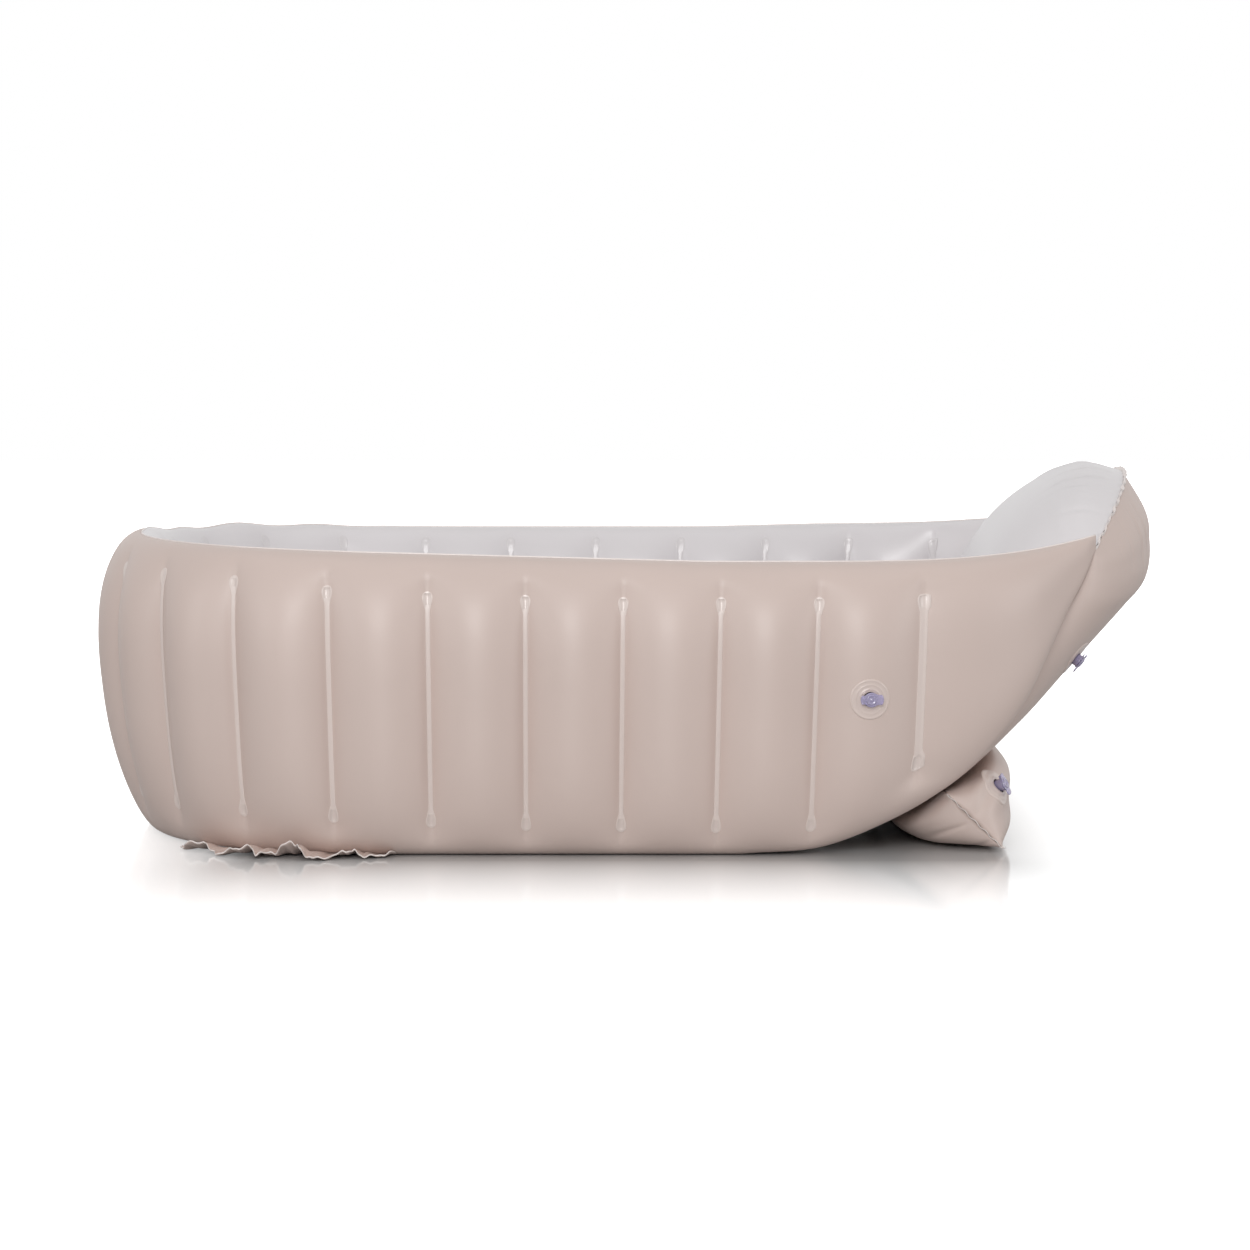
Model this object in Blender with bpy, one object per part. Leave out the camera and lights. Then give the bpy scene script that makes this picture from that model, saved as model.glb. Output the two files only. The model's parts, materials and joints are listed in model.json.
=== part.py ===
# Inflatable baby bath: a U-shaped wall chamber, a channelled floor, a slanted
# head cushion, a wedge bolster under it, four air valves and a drain.
# Metres, +Z up. The foot end is at -X, the head end at +X, and the bath
# stands on Z = 0. Films are single sheets that a Solidify modifier thickens.

import math

import bmesh
import bpy
import numpy as np
from mathutils import Matrix, Vector

# Film and clearances
FILM = 0.0004
GAP = 0.0003
SEAM_GAP = 0.0010

# Wall chamber, measured on its seam line, halfway between the two films
FOOT_SEAM_X = -0.4456
FOOT_BEND_X = -0.2000
SEAM_HALF_WIDTH = 0.2620
TIP_HALF_WIDTH = 0.1800
FOOT_ROUNDNESS_SHARE = 2.5
TAPER_POWER_SHARE = 2.2
RIB_PITCH = 0.0846
OUTER_RIBS_ROUND_FOOT_SHARE = 5.65
INNER_RIBS_ROUND_FOOT_SHARE = 4.98
FOOT_CROWDING_SHARE = 1.07
RIBS_EACH_SIDE = 11
BAY_STEPS = 4
LAST_BAY_STEPS = 5

# The head end, placed from the last rib
LAST_RIB_X = FOOT_BEND_X + RIB_PITCH * (RIBS_EACH_SIDE - OUTER_RIBS_ROUND_FOOT_SHARE)
TIP_REACH = 0.1647
TAPER_RUN_IN = 0.0843
HEAD_RISE_RUN_IN = 0.0683
BASE_LIFT_RUN_IN = 0.1443
FLOOR_RUN_IN = 0.0693
BOLSTER_RUN_IN = 0.0143
TIP_X = LAST_RIB_X + TIP_REACH
TAPER_START_X = LAST_RIB_X - TAPER_RUN_IN
HEAD_RISE_START_X = LAST_RIB_X - HEAD_RISE_RUN_IN
BASE_LIFT_START_X = LAST_RIB_X - BASE_LIFT_RUN_IN
FLOOR_HEAD_X = LAST_RIB_X - FLOOR_RUN_IN
BOLSTER_LEFT_X = LAST_RIB_X - BOLSTER_RUN_IN

# Wall section
CREST_Z = 0.2540
FOOT_CREST_Z = 0.2680
TIP_CREST_Z = 0.2720
FOOT_RISE_START_X = 0.0700
OUTER_DEPTH = 0.0395
INNER_DEPTH = 0.0290
OUTER_BULGE = 0.0120
INNER_BULGE = 0.0080
END_HEIGHT = 0.0120
TOP_SQUARENESS_SHARE = 3.4
FOOT_TOP_SQUARENESS_SHARE = 2.5
BASE_SQUARENESS_SHARE = 3.8
FOOT_BASE_SQUARENESS_SHARE = 2.4
FOOT_LEAN_SHARE = 0.33
NEAR_RISE_SHARE = 1.0
FAR_RISE_SHARE = 6.0
HEAD_RISE_SHARE = 3.0
SWELL_SHARE = 0.8
OUTER_DEPTH_SHARE = 0.9
INNER_DEPTH_SHARE = 2.2
FAN_SHARE = 0.035
FAN_CENTRE_X = -0.0750
SECTION_SHARES = (0.0, 0.055, 0.30, 0.73, 0.94, 1.0)
BASE_LIFT_SHARES = (
    (0.00, 0.000),
    (0.25, 0.030),
    (0.39, 0.095),
    (0.51, 0.170),
    (0.65, 0.300),
    (0.74, 0.440),
    (0.83, 0.640),
    (0.89, 0.775),
    (0.95, 0.890),
    (1.00, 1.000),
)

# Floor mat
FLOOR_HEIGHT = 0.0340
FLOOR_CHANNELS = 10
FLOOR_VALVE_CHANNEL = 3
DRAIN_CHANNEL = 2
FLOOR_CHANNEL_SHARES = (0.0, 0.17, 0.41, 0.59, 0.83)
FLOOR_ROW_SHARES = (-1.0, -0.86, 0.86, 1.0)
FLOOR_SWELL_SHARE = 0.6
FLOOR_CLEARANCE = 0.0008

# Head cushion
CUSHION_TOP_RISE = 0.0620
CUSHION_TOP_REACH = 0.0440
CUSHION_FRONT_DEPTH = 0.0770
CUSHION_BACK_DEPTH = 0.0750
CUSHION_SLOPE_DEG = 50.0
CUSHION_SIDE_RISE = 0.0080
CUSHION_FRONT_SIDE_SHARE = 3.6
CUSHION_BACK_SIDE_SHARE = 2.4
CUSHION_RUN_SHARE = 0.85
CUSHION_ARCH_SHARE = 2.2
CUSHION_ROW_SHARES = (0.0, 0.06, 0.18, 0.36, 0.52, 0.66, 0.75, 0.83, 0.89, 0.93, 0.96, 0.985, 1.0)
CUSHION_COLUMN_SHARES = (0.0, 0.19, 0.38, 0.57, 0.73, 0.88, 1.0)
CUSHION_VALVE_ROW = 6
CUSHION_VALVE_COLUMN = 2
CUSHION_FRONT_SHARES = (
    (0.000, 0.00),
    (0.050, 0.32),
    (0.160, 0.60),
    (0.400, 0.92),
    (0.650, 1.00),
    (0.750, 1.00),
    (0.830, 0.95),
    (0.910, 0.78),
    (0.950, 0.62),
    (0.985, 0.30),
    (1.000, 0.00),
)
CUSHION_BACK_SHARES = (
    (0.000, 0.00),
    (0.300, 0.05),
    (0.480, 0.17),
    (0.580, 0.31),
    (0.640, 0.43),
    (0.750, 0.65),
    (0.860, 0.84),
    (0.910, 0.87),
    (0.950, 0.70),
    (0.985, 0.37),
    (1.000, 0.00),
)

# Bolster
BOLSTER_HALF_LENGTH = 0.2620
BOLSTER_WIDTH = 0.1070
BOLSTER_SEAM_TOP_INSET = 0.0420
BOLSTER_SEAM_FOOT_INSET = 0.0160
BOLSTER_SEAM_FOOT_Z = 0.0040
BOLSTER_SEAM_TOP_X = BOLSTER_LEFT_X + BOLSTER_SEAM_TOP_INSET
BOLSTER_SEAM_FOOT_X = BOLSTER_LEFT_X + BOLSTER_WIDTH - BOLSTER_SEAM_FOOT_INSET
BOLSTER_CLEARANCE = 0.0010
BOLSTER_COLUMN_SHARES = (0.0, 0.45, 0.78, 0.90, 0.97, 1.0)
BOLSTER_END_SHARE = 4.0
BOLSTER_NEAR_SHARE = 0.06
BOLSTER_CROWN_SHARE = 0.80
BOLSTER_VALVE_ROW = 3
BOLSTER_VALVE_COLUMN = 2
BOLSTER_LOWER_SHARES = ((0.17, 1.00), (0.00, 0.62), (0.14, 0.16), (0.32, 0.00), (0.70, 0.00))
BOLSTER_UPPER_SHARES = ((0.66, 1.00), (0.88, 1.00), (1.00, 0.86), (1.00, 0.52), (1.00, 0.26))

# Skirt of loose film
SKIRT_REACH = 0.0600
SKIRT_FIRST_SHARE = 0.56
SKIRT_LAST_SHARE = 1.00
SKIRT_FOLDS = 7
SKIRT_FOLD_HEIGHT = 0.0080
SKIRT_STEPS = 28
SKIRT_ROW_SHARES = (0.0, 0.35, 0.7, 1.0)
SKIRT_FULLNESS_SHARE = 0.4
SKIRT_END_SHARE = 0.25

# Valves, in their own frame: +Z points out of the film
FLANGE_RADIUS = 0.0170
FLANGE_THICKNESS = 0.0010
FLANGE_HOLE_RADIUS = 0.0064
STEM_RADIUS = 0.0056
STEM_BORE_RADIUS = 0.0041
STEM_LENGTH = 0.0200
STEM_TRAVEL = 0.0120
STEM_PUSHED_TOP = 0.0040
CAP_RADIUS = 0.0058
CAP_THICKNESS = 0.0012
PLUG_RADIUS = 0.0034
PLUG_DEPTH = 0.0019
PLUG_TAPER_SHARE = 0.92
HINGE_REACH = 0.0076
HINGE_LIFT = 0.0009
STRAP_WIDTH = 0.0050
TAB_REACH = 0.0105
TAB_SHARE = 0.8
STRAP_SHARE = 0.9
LUG_LENGTH = 0.0032
LUG_DROP = 0.0016
FLAP_RADIUS = 0.0050
FLAP_THICKNESS = 0.0006
SKIN_HOLE_RADIUS = 0.0072
ROUND_STEPS = 20
SHARP_TURN_DEG = 35.0

# Drain
DRAIN_RADIUS = 0.0120
DRAIN_BORE_RADIUS = 0.0100
DRAIN_FLANGE_RADIUS = 0.0180
DRAIN_FLANGE_THICKNESS = 0.0012
DRAIN_PLUG_RADIUS = 0.0094
DRAIN_PLUG_DEPTH = 0.0100
DRAIN_PLUG_TAPER_SHARE = 0.9
DRAIN_CAP_RADIUS = 0.0135
DRAIN_CAP_THICKNESS = 0.0022
DRAIN_CAP_TAPER_SHARE = 0.96
DRAIN_GRIP_LENGTH = 0.0140
DRAIN_GRIP_WIDTH = 0.0030
DRAIN_GRIP_HEIGHT = 0.0060
CUTTER_OVERRUN = 0.0100

BEIGE = (0.630, 0.527, 0.484, 1.0)
WHITE = (0.780, 0.760, 0.745, 1.0)
CLEAR = (0.560, 0.520, 0.720, 1.0)
RUBBER = (0.700, 0.690, 0.680, 1.0)


def clear_scene():
    for thing in list(bpy.data.objects):
        bpy.data.objects.remove(thing, do_unlink=True)


def material(name, colour, roughness):
    found = bpy.data.materials.new(name)
    found.use_nodes = True
    shader = found.node_tree.nodes["Principled BSDF"]
    shader.inputs["Base Color"].default_value = colour
    shader.inputs["Roughness"].default_value = roughness
    shader.inputs["Metallic"].default_value = 0.0
    return found


def add_object(name, bm, colour, roughness=0.4):
    mesh = bpy.data.meshes.new(name)
    bm.to_mesh(mesh)
    bm.free()
    mesh.materials.append(material(name, colour, roughness))
    thing = bpy.data.objects.new(name, mesh)
    bpy.context.scene.collection.objects.link(thing)
    return thing


def smooth_rise(shares, at):
    # A cubic through hand-chosen points, with slopes taken from its neighbours.
    x = np.array([point[0] for point in shares])
    y = np.array([point[1] for point in shares])
    slope = np.gradient(y, x)
    at = np.clip(np.asarray(at, float), x[0], x[-1])
    i = np.clip(np.searchsorted(x, at, side="right") - 1, 0, len(x) - 2)
    step = x[i + 1] - x[i]
    t = (at - x[i]) / step
    start = (1 + 2 * t) * (1 - t) ** 2 * y[i] + t * (1 - t) ** 2 * step * slope[i]
    end = t**2 * (3 - 2 * t) * y[i + 1] + t**2 * (t - 1) * step * slope[i + 1]
    return start + end


def mirrored(shares):
    # The same shares on both sides of the centre line, from -1 to 1.
    return np.array([-share for share in reversed(shares[1:])] + list(shares))


# The seam line in plan


def foot_quarter():
    # The foot's quarter superellipse, from the centre line to the bend.
    turn = np.linspace(0.0, math.pi / 2, 400)
    power = 2 / FOOT_ROUNDNESS_SHARE
    x = FOOT_BEND_X - (FOOT_BEND_X - FOOT_SEAM_X) * np.cos(turn) ** power
    y = SEAM_HALF_WIDTH * np.sin(turn) ** power
    along = np.concatenate([[0.0], np.cumsum(np.hypot(np.diff(x), np.diff(y)))])
    return x, y, along


QUARTER_X, QUARTER_Y, QUARTER_ALONG = foot_quarter()
QUARTER_LENGTH = QUARTER_ALONG[-1]
TIP_STATION = QUARTER_LENGTH + TIP_X - FOOT_BEND_X


def seam_plan(station):
    # X, Y and outward normal of the seam line at signed distances from the foot.
    station = np.asarray(station, float)
    side = np.where(station < 0, -1.0, 1.0)

    def place(along):
        foot = np.minimum(along, QUARTER_LENGTH)
        beyond = np.maximum(along - QUARTER_LENGTH, 0.0)
        x = np.interp(foot, QUARTER_ALONG, QUARTER_X) + beyond
        y = np.interp(foot, QUARTER_ALONG, QUARTER_Y)
        taper = np.clip((x - TAPER_START_X) / (TIP_X - TAPER_START_X), 0.0, None)
        y = y - (SEAM_HALF_WIDTH - TIP_HALF_WIDTH) * taper**TAPER_POWER_SHARE
        return x, y

    along = np.abs(station)
    near = QUARTER_LENGTH / 200
    x, y = place(along)
    ahead_x, ahead_y = place(along + near)
    behind = along - near
    behind_x, behind_y = place(np.abs(behind))
    behind_y = np.where(behind < 0, -behind_y, behind_y)
    run_x = ahead_x - behind_x
    run_y = ahead_y - behind_y
    size = np.hypot(run_x, run_y)
    return x, side * y, -run_y / size, side * run_x / size


def rib_station(count, ribs_round_foot, depth):
    # Ribs are spaced round the foot along the film itself, which stands off the seam
    # line by its depth, a little closer in the middle. On the straight they follow the pitch.
    steps = np.abs(np.asarray(count, float))
    _, _, normal_x, normal_y = seam_plan(QUARTER_ALONG)
    film_along = QUARTER_ALONG + depth * np.arctan2(normal_y, -normal_x)
    share = (np.minimum(steps, ribs_round_foot) / ribs_round_foot) ** FOOT_CROWDING_SHARE
    foot = np.interp(share * film_along[-1], film_along, QUARTER_ALONG)
    beyond = np.maximum(steps - ribs_round_foot, 0.0) * RIB_PITCH
    return np.sign(count) * (foot + beyond)


def crest_height(x, side=0.0):
    # The rim climbs to the foot, early on the near side and late on the far side.
    foot = (FOOT_RISE_START_X - x) / (FOOT_RISE_START_X - FOOT_SEAM_X)
    head = (x - HEAD_RISE_START_X) / (TIP_X - HEAD_RISE_START_X)
    foot = np.clip(foot, 0.0, None) ** np.where(side > 0, FAR_RISE_SHARE, NEAR_RISE_SHARE)
    head = np.clip(head, 0.0, None) ** HEAD_RISE_SHARE
    return CREST_Z + (FOOT_CREST_Z - CREST_Z) * foot + (TIP_CREST_Z - CREST_Z) * head


def base_height(x):
    lift = (x - BASE_LIFT_START_X) / (TIP_X - BASE_LIFT_START_X)
    return FILM + (TIP_CREST_Z - END_HEIGHT - FILM) * smooth_rise(BASE_LIFT_SHARES, lift)


def wall_point(station, share, bay_share, outward, depth, bulge, depth_power):
    # A point of one wall film: share runs from base seam to crest seam, and
    # bay_share is the place between two ribs, where the film swells out.
    x, y, normal_x, normal_y = seam_plan(station)
    low = base_height(x)
    high = crest_height(x, station)
    tall = (high - low) / CREST_Z
    foot_share = np.clip(-normal_x, 0.0, 1.0)
    top = TOP_SQUARENESS_SHARE + (FOOT_TOP_SQUARENESS_SHARE - TOP_SQUARENESS_SHARE) * foot_share
    base = BASE_SQUARENESS_SHARE + (FOOT_BASE_SQUARENESS_SHARE - BASE_SQUARENESS_SHARE) * foot_share
    power = np.where(share > 0.5, top, base)
    arch = (1 - np.abs(2 * share - 1) ** power) ** (1 / power)
    swell = np.abs(np.sin(math.pi * bay_share)) ** SWELL_SHARE * arch**3
    lean = 1 - FOOT_LEAN_SHARE * foot_share * (1 - share)
    reach = depth * tall**depth_power * arch + bulge * swell * tall**SWELL_SHARE
    reach = outward * (reach * lean + SEAM_GAP / 2)
    fan = 1 - FAN_SHARE * (1 - share) * np.clip(1.0 - 2 * (1 - np.minimum(tall, 1.0)), 0.0, 1.0)
    x = FAN_CENTRE_X + (x - FAN_CENTRE_X) * fan
    height = low + (high - low) * share
    return np.stack([x + normal_x * reach, y + normal_y * reach, height], axis=-1)


def outer_wall(station, share, bay_share):
    return wall_point(station, share, bay_share, 1.0, OUTER_DEPTH, OUTER_BULGE, OUTER_DEPTH_SHARE)


def inner_wall(station, share, bay_share):
    return wall_point(station, share, bay_share, -1.0, INNER_DEPTH, INNER_BULGE, INNER_DEPTH_SHARE)


def wall_columns(ribs_round_foot, depth):
    # Stations of a wall film's columns and where each lies in its bay.
    stations = []
    bays = []
    for bay in range(-RIBS_EACH_SIDE, RIBS_EACH_SIDE):
        for step in range(BAY_STEPS):
            stations.append(rib_station(bay + step / BAY_STEPS, ribs_round_foot, depth))
            bays.append(step / BAY_STEPS)
    last = rib_station(RIBS_EACH_SIDE, ribs_round_foot, depth)
    shares = [i / LAST_BAY_STEPS for i in range(LAST_BAY_STEPS + 1)]
    ends = [last + (TIP_STATION - last) * share for share in shares]
    stations = [-end for end in reversed(ends[1:])] + stations + ends
    bays = [1 - share for share in reversed(shares[1:])] + bays + shares
    return np.array(stations, float), np.array(bays, float)


def grid_mesh(points, flipped):
    # An open sheet of quads through a grid of points.
    rows, columns = points.shape[:2]
    bm = bmesh.new()
    corners = [[bm.verts.new(points[i, j]) for j in range(columns)] for i in range(rows)]
    for i in range(rows - 1):
        for j in range(columns - 1):
            ring = [corners[i][j], corners[i][j + 1], corners[i + 1][j + 1], corners[i + 1][j]]
            bm.faces.new(reversed(ring) if flipped else ring)
    return bm


def add_film(name, points, flipped, colour):
    film = add_object(name, grid_mesh(points, flipped), colour)
    film.data.shade_smooth()
    thicken = film.modifiers.new("film", "SOLIDIFY")
    thicken.thickness = FILM
    thicken.offset = 0.0
    return film


def add_wall_films():
    films = []
    for name, surface, ribs, depth, flipped, colour in (
        ("wall_outer_skin", outer_wall, OUTER_RIBS_ROUND_FOOT_SHARE, OUTER_DEPTH, True, BEIGE),
        ("wall_inner_skin", inner_wall, INNER_RIBS_ROUND_FOOT_SHARE, -INNER_DEPTH, False, WHITE),
    ):
        stations, bays = wall_columns(ribs, depth)
        share, station = np.meshgrid(SECTION_SHARES, stations, indexing="ij")
        points = surface(station, share, bays[None, :])
        films.append(add_film(name, points, flipped, colour))
    return films


def add_wall_webs():
    # A web runs straight from each outer rib to its inner rib, clear of both.
    shares = np.array(SECTION_SHARES[1:-1])
    for number, rib in enumerate(range(-RIBS_EACH_SIDE, RIBS_EACH_SIDE + 1), start=1):
        start = outer_wall(rib_station(rib, OUTER_RIBS_ROUND_FOOT_SHARE, OUTER_DEPTH), shares, 0.0)
        end = inner_wall(rib_station(rib, INNER_RIBS_ROUND_FOOT_SHARE, -INNER_DEPTH), shares, 0.0)
        run = end - start
        run = run / np.linalg.norm(run, axis=1)[:, None]
        inset = FILM + 2 * GAP
        points = np.stack([start + run * inset, end - run * inset])
        add_film(f"wall_web_{number:02d}", points, False, WHITE)


# Floor mat, between the wall's inner films


def floor_outline():
    # The innermost line of the wall's inner film at the height of the mat's seam.
    station = np.linspace(0.0, TIP_STATION * 0.9, 240)
    line = inner_wall(station, FLOOR_HEIGHT / 2 / CREST_Z, 0.5)
    return line[:, 0] + FLOOR_CLEARANCE, line[:, 1] - FLOOR_CLEARANCE


def floor_half_width(x):
    edge_x, edge_y = floor_outline()
    return np.interp(x, edge_x, edge_y)


def floor_columns():
    start = floor_outline()[0][0] + FLOOR_HEIGHT / 6
    pitch = (FLOOR_HEAD_X - start) / FLOOR_CHANNELS
    places = []
    for channel in range(FLOOR_CHANNELS):
        for share in FLOOR_CHANNEL_SHARES:
            places.append((start + (channel + share) * pitch, share))
    places.append((FLOOR_HEAD_X, 0.0))
    return np.array(places), pitch


def add_floor_films():
    places, pitch = floor_columns()
    row = np.array(FLOOR_ROW_SHARES)[:, None]
    x = places[None, :, 0] + np.zeros_like(row)
    y = row * floor_half_width(x)
    swell = np.abs(np.sin(math.pi * places[None, :, 1])) ** FLOOR_SWELL_SHARE
    swell = np.minimum(swell / swell.max(), 1.0)
    edge = np.where(np.abs(row) > FLOOR_ROW_SHARES[-2], 0.0, 1.0)
    middle = FLOOR_HEIGHT / 2
    rise = (middle - FILM / 2 - SEAM_GAP / 2) * swell * edge
    lift = SEAM_GAP / 2 + rise
    top = np.stack([x, y, middle + lift], axis=-1)
    bottom = np.stack([x, y, middle - lift], axis=-1)
    upper = add_film("floor_top_skin", top, False, WHITE)
    lower = add_film("floor_bottom_skin", bottom, True, BEIGE)
    return upper, lower, pitch


# Head cushion


def cushion_side(share):
    # The cushion's side seam follows the wall's base seam up to its tip.
    start = FLOOR_HEAD_X + SEAM_GAP
    x = start + (TIP_X - start) * share**CUSHION_RUN_SHARE
    station = QUARTER_LENGTH + x - FOOT_BEND_X
    low = base_height(x)
    seam_z = np.maximum(low, FLOOR_HEIGHT / 2)
    above = (seam_z - low + CUSHION_SIDE_RISE) / (crest_height(x) - low + CUSHION_SIDE_RISE)
    wall = inner_wall(station, above, 0.5)
    return x, wall[..., 1] - GAP, seam_z


def cushion_middle(across, share):
    x, half, z = cushion_side(share)
    arch = (1 - np.abs(across) ** CUSHION_ARCH_SHARE) * share**3
    return np.stack(
        [x + CUSHION_TOP_REACH * arch, across * half, z + CUSHION_TOP_RISE * arch], axis=-1
    )


def cushion_surface(across, share, outward, depth, shares, side_share):
    slope = math.radians(CUSHION_SLOPE_DEG)
    away = np.array([math.sin(slope), 0.0, -math.cos(slope)]) * outward
    side = np.clip(1 - np.abs(across) ** side_share, 0.0, 1.0) ** 0.5
    deep = depth * smooth_rise(shares, share) * side + SEAM_GAP / 2
    return cushion_middle(across, share) + deep[..., None] * away


def cushion_front(across, share):
    depth = CUSHION_FRONT_DEPTH
    return cushion_surface(across, share, -1.0, depth, CUSHION_FRONT_SHARES, CUSHION_FRONT_SIDE_SHARE)


def cushion_back(across, share):
    depth = CUSHION_BACK_DEPTH
    return cushion_surface(across, share, 1.0, depth, CUSHION_BACK_SHARES, CUSHION_BACK_SIDE_SHARE)


def cushion_grid():
    across = mirrored(CUSHION_COLUMN_SHARES)
    return np.meshgrid(across, CUSHION_ROW_SHARES, indexing="xy")


def add_cushion_films():
    across, share = cushion_grid()
    front = add_film("cushion_front_skin", cushion_front(across, share), False, WHITE)
    back = add_film("cushion_back_skin", cushion_back(across, share), True, BEIGE)
    return front, back


# Bolster, wedged between the head cushion and the ground


def height_above_bolster(x, y):
    # How high the cushion's back film or the wall's base seam is above X, Y. The
    # lowest of three near places is taken, so that flat facets stay clear between.
    share = np.linspace(0.0, 1.0, 150)[:-30]
    _, half, _ = cushion_side(share)
    heights = [float(base_height(np.array(x)))]
    for back, inward in ((0.0, 0.0), (1.0, 0.0), (0.0, 1.0)):
        near_y = max(abs(y) - inward * BOLSTER_HALF_LENGTH * BOLSTER_NEAR_SHARE, 0.0)
        across = np.clip(near_y / half, 0.0, 1.0)
        under = cushion_back(across, share)
        place = x - back * BOLSTER_CLEARANCE
        heights.append(float(np.interp(place, under[:, 0], under[:, 2])))
    return min(heights) - BOLSTER_CLEARANCE


def bolster_section(y, shares, seam_shift):
    # One film's cross-section at Y, from the upper seam to the seam by the ground.
    seam_top = (BOLSTER_SEAM_TOP_X, height_above_bolster(BOLSTER_SEAM_TOP_X, y))
    seam_foot = (BOLSTER_SEAM_FOOT_X, BOLSTER_SEAM_FOOT_Z + seam_shift)
    line = [seam_top]
    for across, up in shares:
        under_x = BOLSTER_LEFT_X + BOLSTER_WIDTH * min(across, BOLSTER_CROWN_SHARE)
        height = max(up * height_above_bolster(under_x, y), FILM / 2)
        line.append((BOLSTER_LEFT_X + BOLSTER_WIDTH * across, height))
    line.append(seam_foot)
    line = np.array(line)
    chord = np.linspace(line[0], (BOLSTER_SEAM_FOOT_X, BOLSTER_SEAM_FOOT_Z), len(line))
    end = (1 - abs(y / BOLSTER_HALF_LENGTH) ** BOLSTER_END_SHARE) ** 0.5
    section = chord + (line - chord) * end
    return np.column_stack([section[:, 0] + seam_shift, np.full(len(line), y), section[:, 1]])


def bolster_grid(shares, seam_shift):
    places = BOLSTER_HALF_LENGTH * mirrored(BOLSTER_COLUMN_SHARES)
    sections = [bolster_section(y, shares, seam_shift) for y in places]
    return np.array(sections).transpose(1, 0, 2)


def add_bolster_films():
    upper = bolster_grid(BOLSTER_UPPER_SHARES, SEAM_GAP / 2)
    lower = bolster_grid(BOLSTER_LOWER_SHARES, -SEAM_GAP / 2)
    add_film("bolster_lower_skin", lower, False, BEIGE)
    above = add_film("bolster_upper_skin", upper, True, BEIGE)
    return above, upper


# Skirt of loose film under the near side of the foot


def add_skirt():
    share = np.linspace(SKIRT_FIRST_SHARE, SKIRT_LAST_SHARE, SKIRT_STEPS + 1)
    x, y, normal_x, normal_y = seam_plan(-share * QUARTER_LENGTH)
    run = (share - SKIRT_FIRST_SHARE) / (SKIRT_LAST_SHARE - SKIRT_FIRST_SHARE)
    fullness = np.sin(math.pi * run) ** SKIRT_FULLNESS_SHARE
    wave = 0.5 - 0.5 * np.cos(2 * math.pi * SKIRT_FOLDS * run)
    rows = []
    reach_share = SKIRT_END_SHARE + (1 - SKIRT_END_SHARE) * fullness
    for out_share in SKIRT_ROW_SHARES:
        reach = SEAM_GAP + SKIRT_REACH * out_share * reach_share
        lift = FILM / 2 + SKIRT_FOLD_HEIGHT * wave * out_share
        rows.append(np.stack([x + normal_x * reach, y + normal_y * reach, lift], axis=-1))
    return add_film("bottom_skirt", np.array(rows), False, BEIGE)


# Turned and flat pieces


def turned(profile):
    # A ring-shaped solid: a closed profile of radius and height, spun about Z.
    bm = bmesh.new()
    rings = []
    for step in range(ROUND_STEPS):
        turn = 2 * math.pi * step / ROUND_STEPS
        rings.append([bm.verts.new((r * math.cos(turn), r * math.sin(turn), z)) for r, z in profile])
    count = len(profile)
    for i in range(ROUND_STEPS):
        ring = rings[i]
        following = rings[(i + 1) % ROUND_STEPS]
        for j in range(count):
            k = (j + 1) % count
            bm.faces.new([ring[j], following[j], following[k], ring[k]])
    bmesh.ops.recalc_face_normals(bm, faces=bm.faces)
    return bm


def disc(radius, top_radius, low, high, centre_x=0.0):
    bm = bmesh.new()
    place = Matrix.Translation((centre_x, 0.0, (low + high) / 2))
    bmesh.ops.create_cone(
        bm,
        cap_ends=True,
        segments=ROUND_STEPS,
        radius1=radius,
        radius2=top_radius,
        depth=high - low,
        matrix=place,
    )
    return bm


def block(size, centre):
    bm = bmesh.new()
    shape = Matrix.Translation(centre) @ Matrix.Diagonal((*size, 1.0))
    bmesh.ops.create_cube(bm, size=1.0, matrix=shape)
    return bm


def hide_tool(tool):
    tool.hide_render = True
    tool.display_type = "WIRE"


def combine(target, bm, operation, name, frame):
    tool = add_object(name, bm, CLEAR)
    tool.matrix_world = frame
    hide_tool(tool)
    cut = target.modifiers.new(name, "BOOLEAN")
    cut.operation = operation
    cut.solver = "EXACT"
    cut.object = tool


def frame_at(point, outward, sideways):
    # A frame whose +Z is the outward direction and whose +X is close to sideways.
    z = Vector(outward).normalized()
    x = Vector(sideways)
    x = (x - z * x.dot(z)).normalized()
    y = z.cross(x)
    frame = Matrix.Identity(4)
    for row in range(3):
        frame[row][0] = x[row]
        frame[row][1] = y[row]
        frame[row][2] = z[row]
        frame[row][3] = point[row]
    return frame


def clear_lift(point, outward, neighbours):
    # How far a flat ring moves outwards, or inwards, to just clear the film's facets:
    # where they climb it clears their reach under it, and where they fall, the hole's edge.
    lifts = []
    for neighbour in neighbours:
        reach = Vector(neighbour) - Vector(point)
        climb = reach.dot(outward) / reach.length
        radius = FLANGE_RADIUS if climb > 0 else SKIN_HOLE_RADIUS
        lifts.append(climb * min(radius, reach.length))
    return max(lifts, default=0.0)


def add_flange(name, frame):
    ring = [
        (FLANGE_HOLE_RADIUS, -FLANGE_THICKNESS),
        (FLANGE_RADIUS, -FLANGE_THICKNESS),
        (FLANGE_RADIUS, -FLANGE_THICKNESS / 2),
        (FLANGE_RADIUS - FLANGE_THICKNESS, 0.0),
        (FLANGE_HOLE_RADIUS, 0.0),
    ]
    flange = add_object(name, turned(ring), CLEAR)
    flange.matrix_world = frame
    return flange


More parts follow.
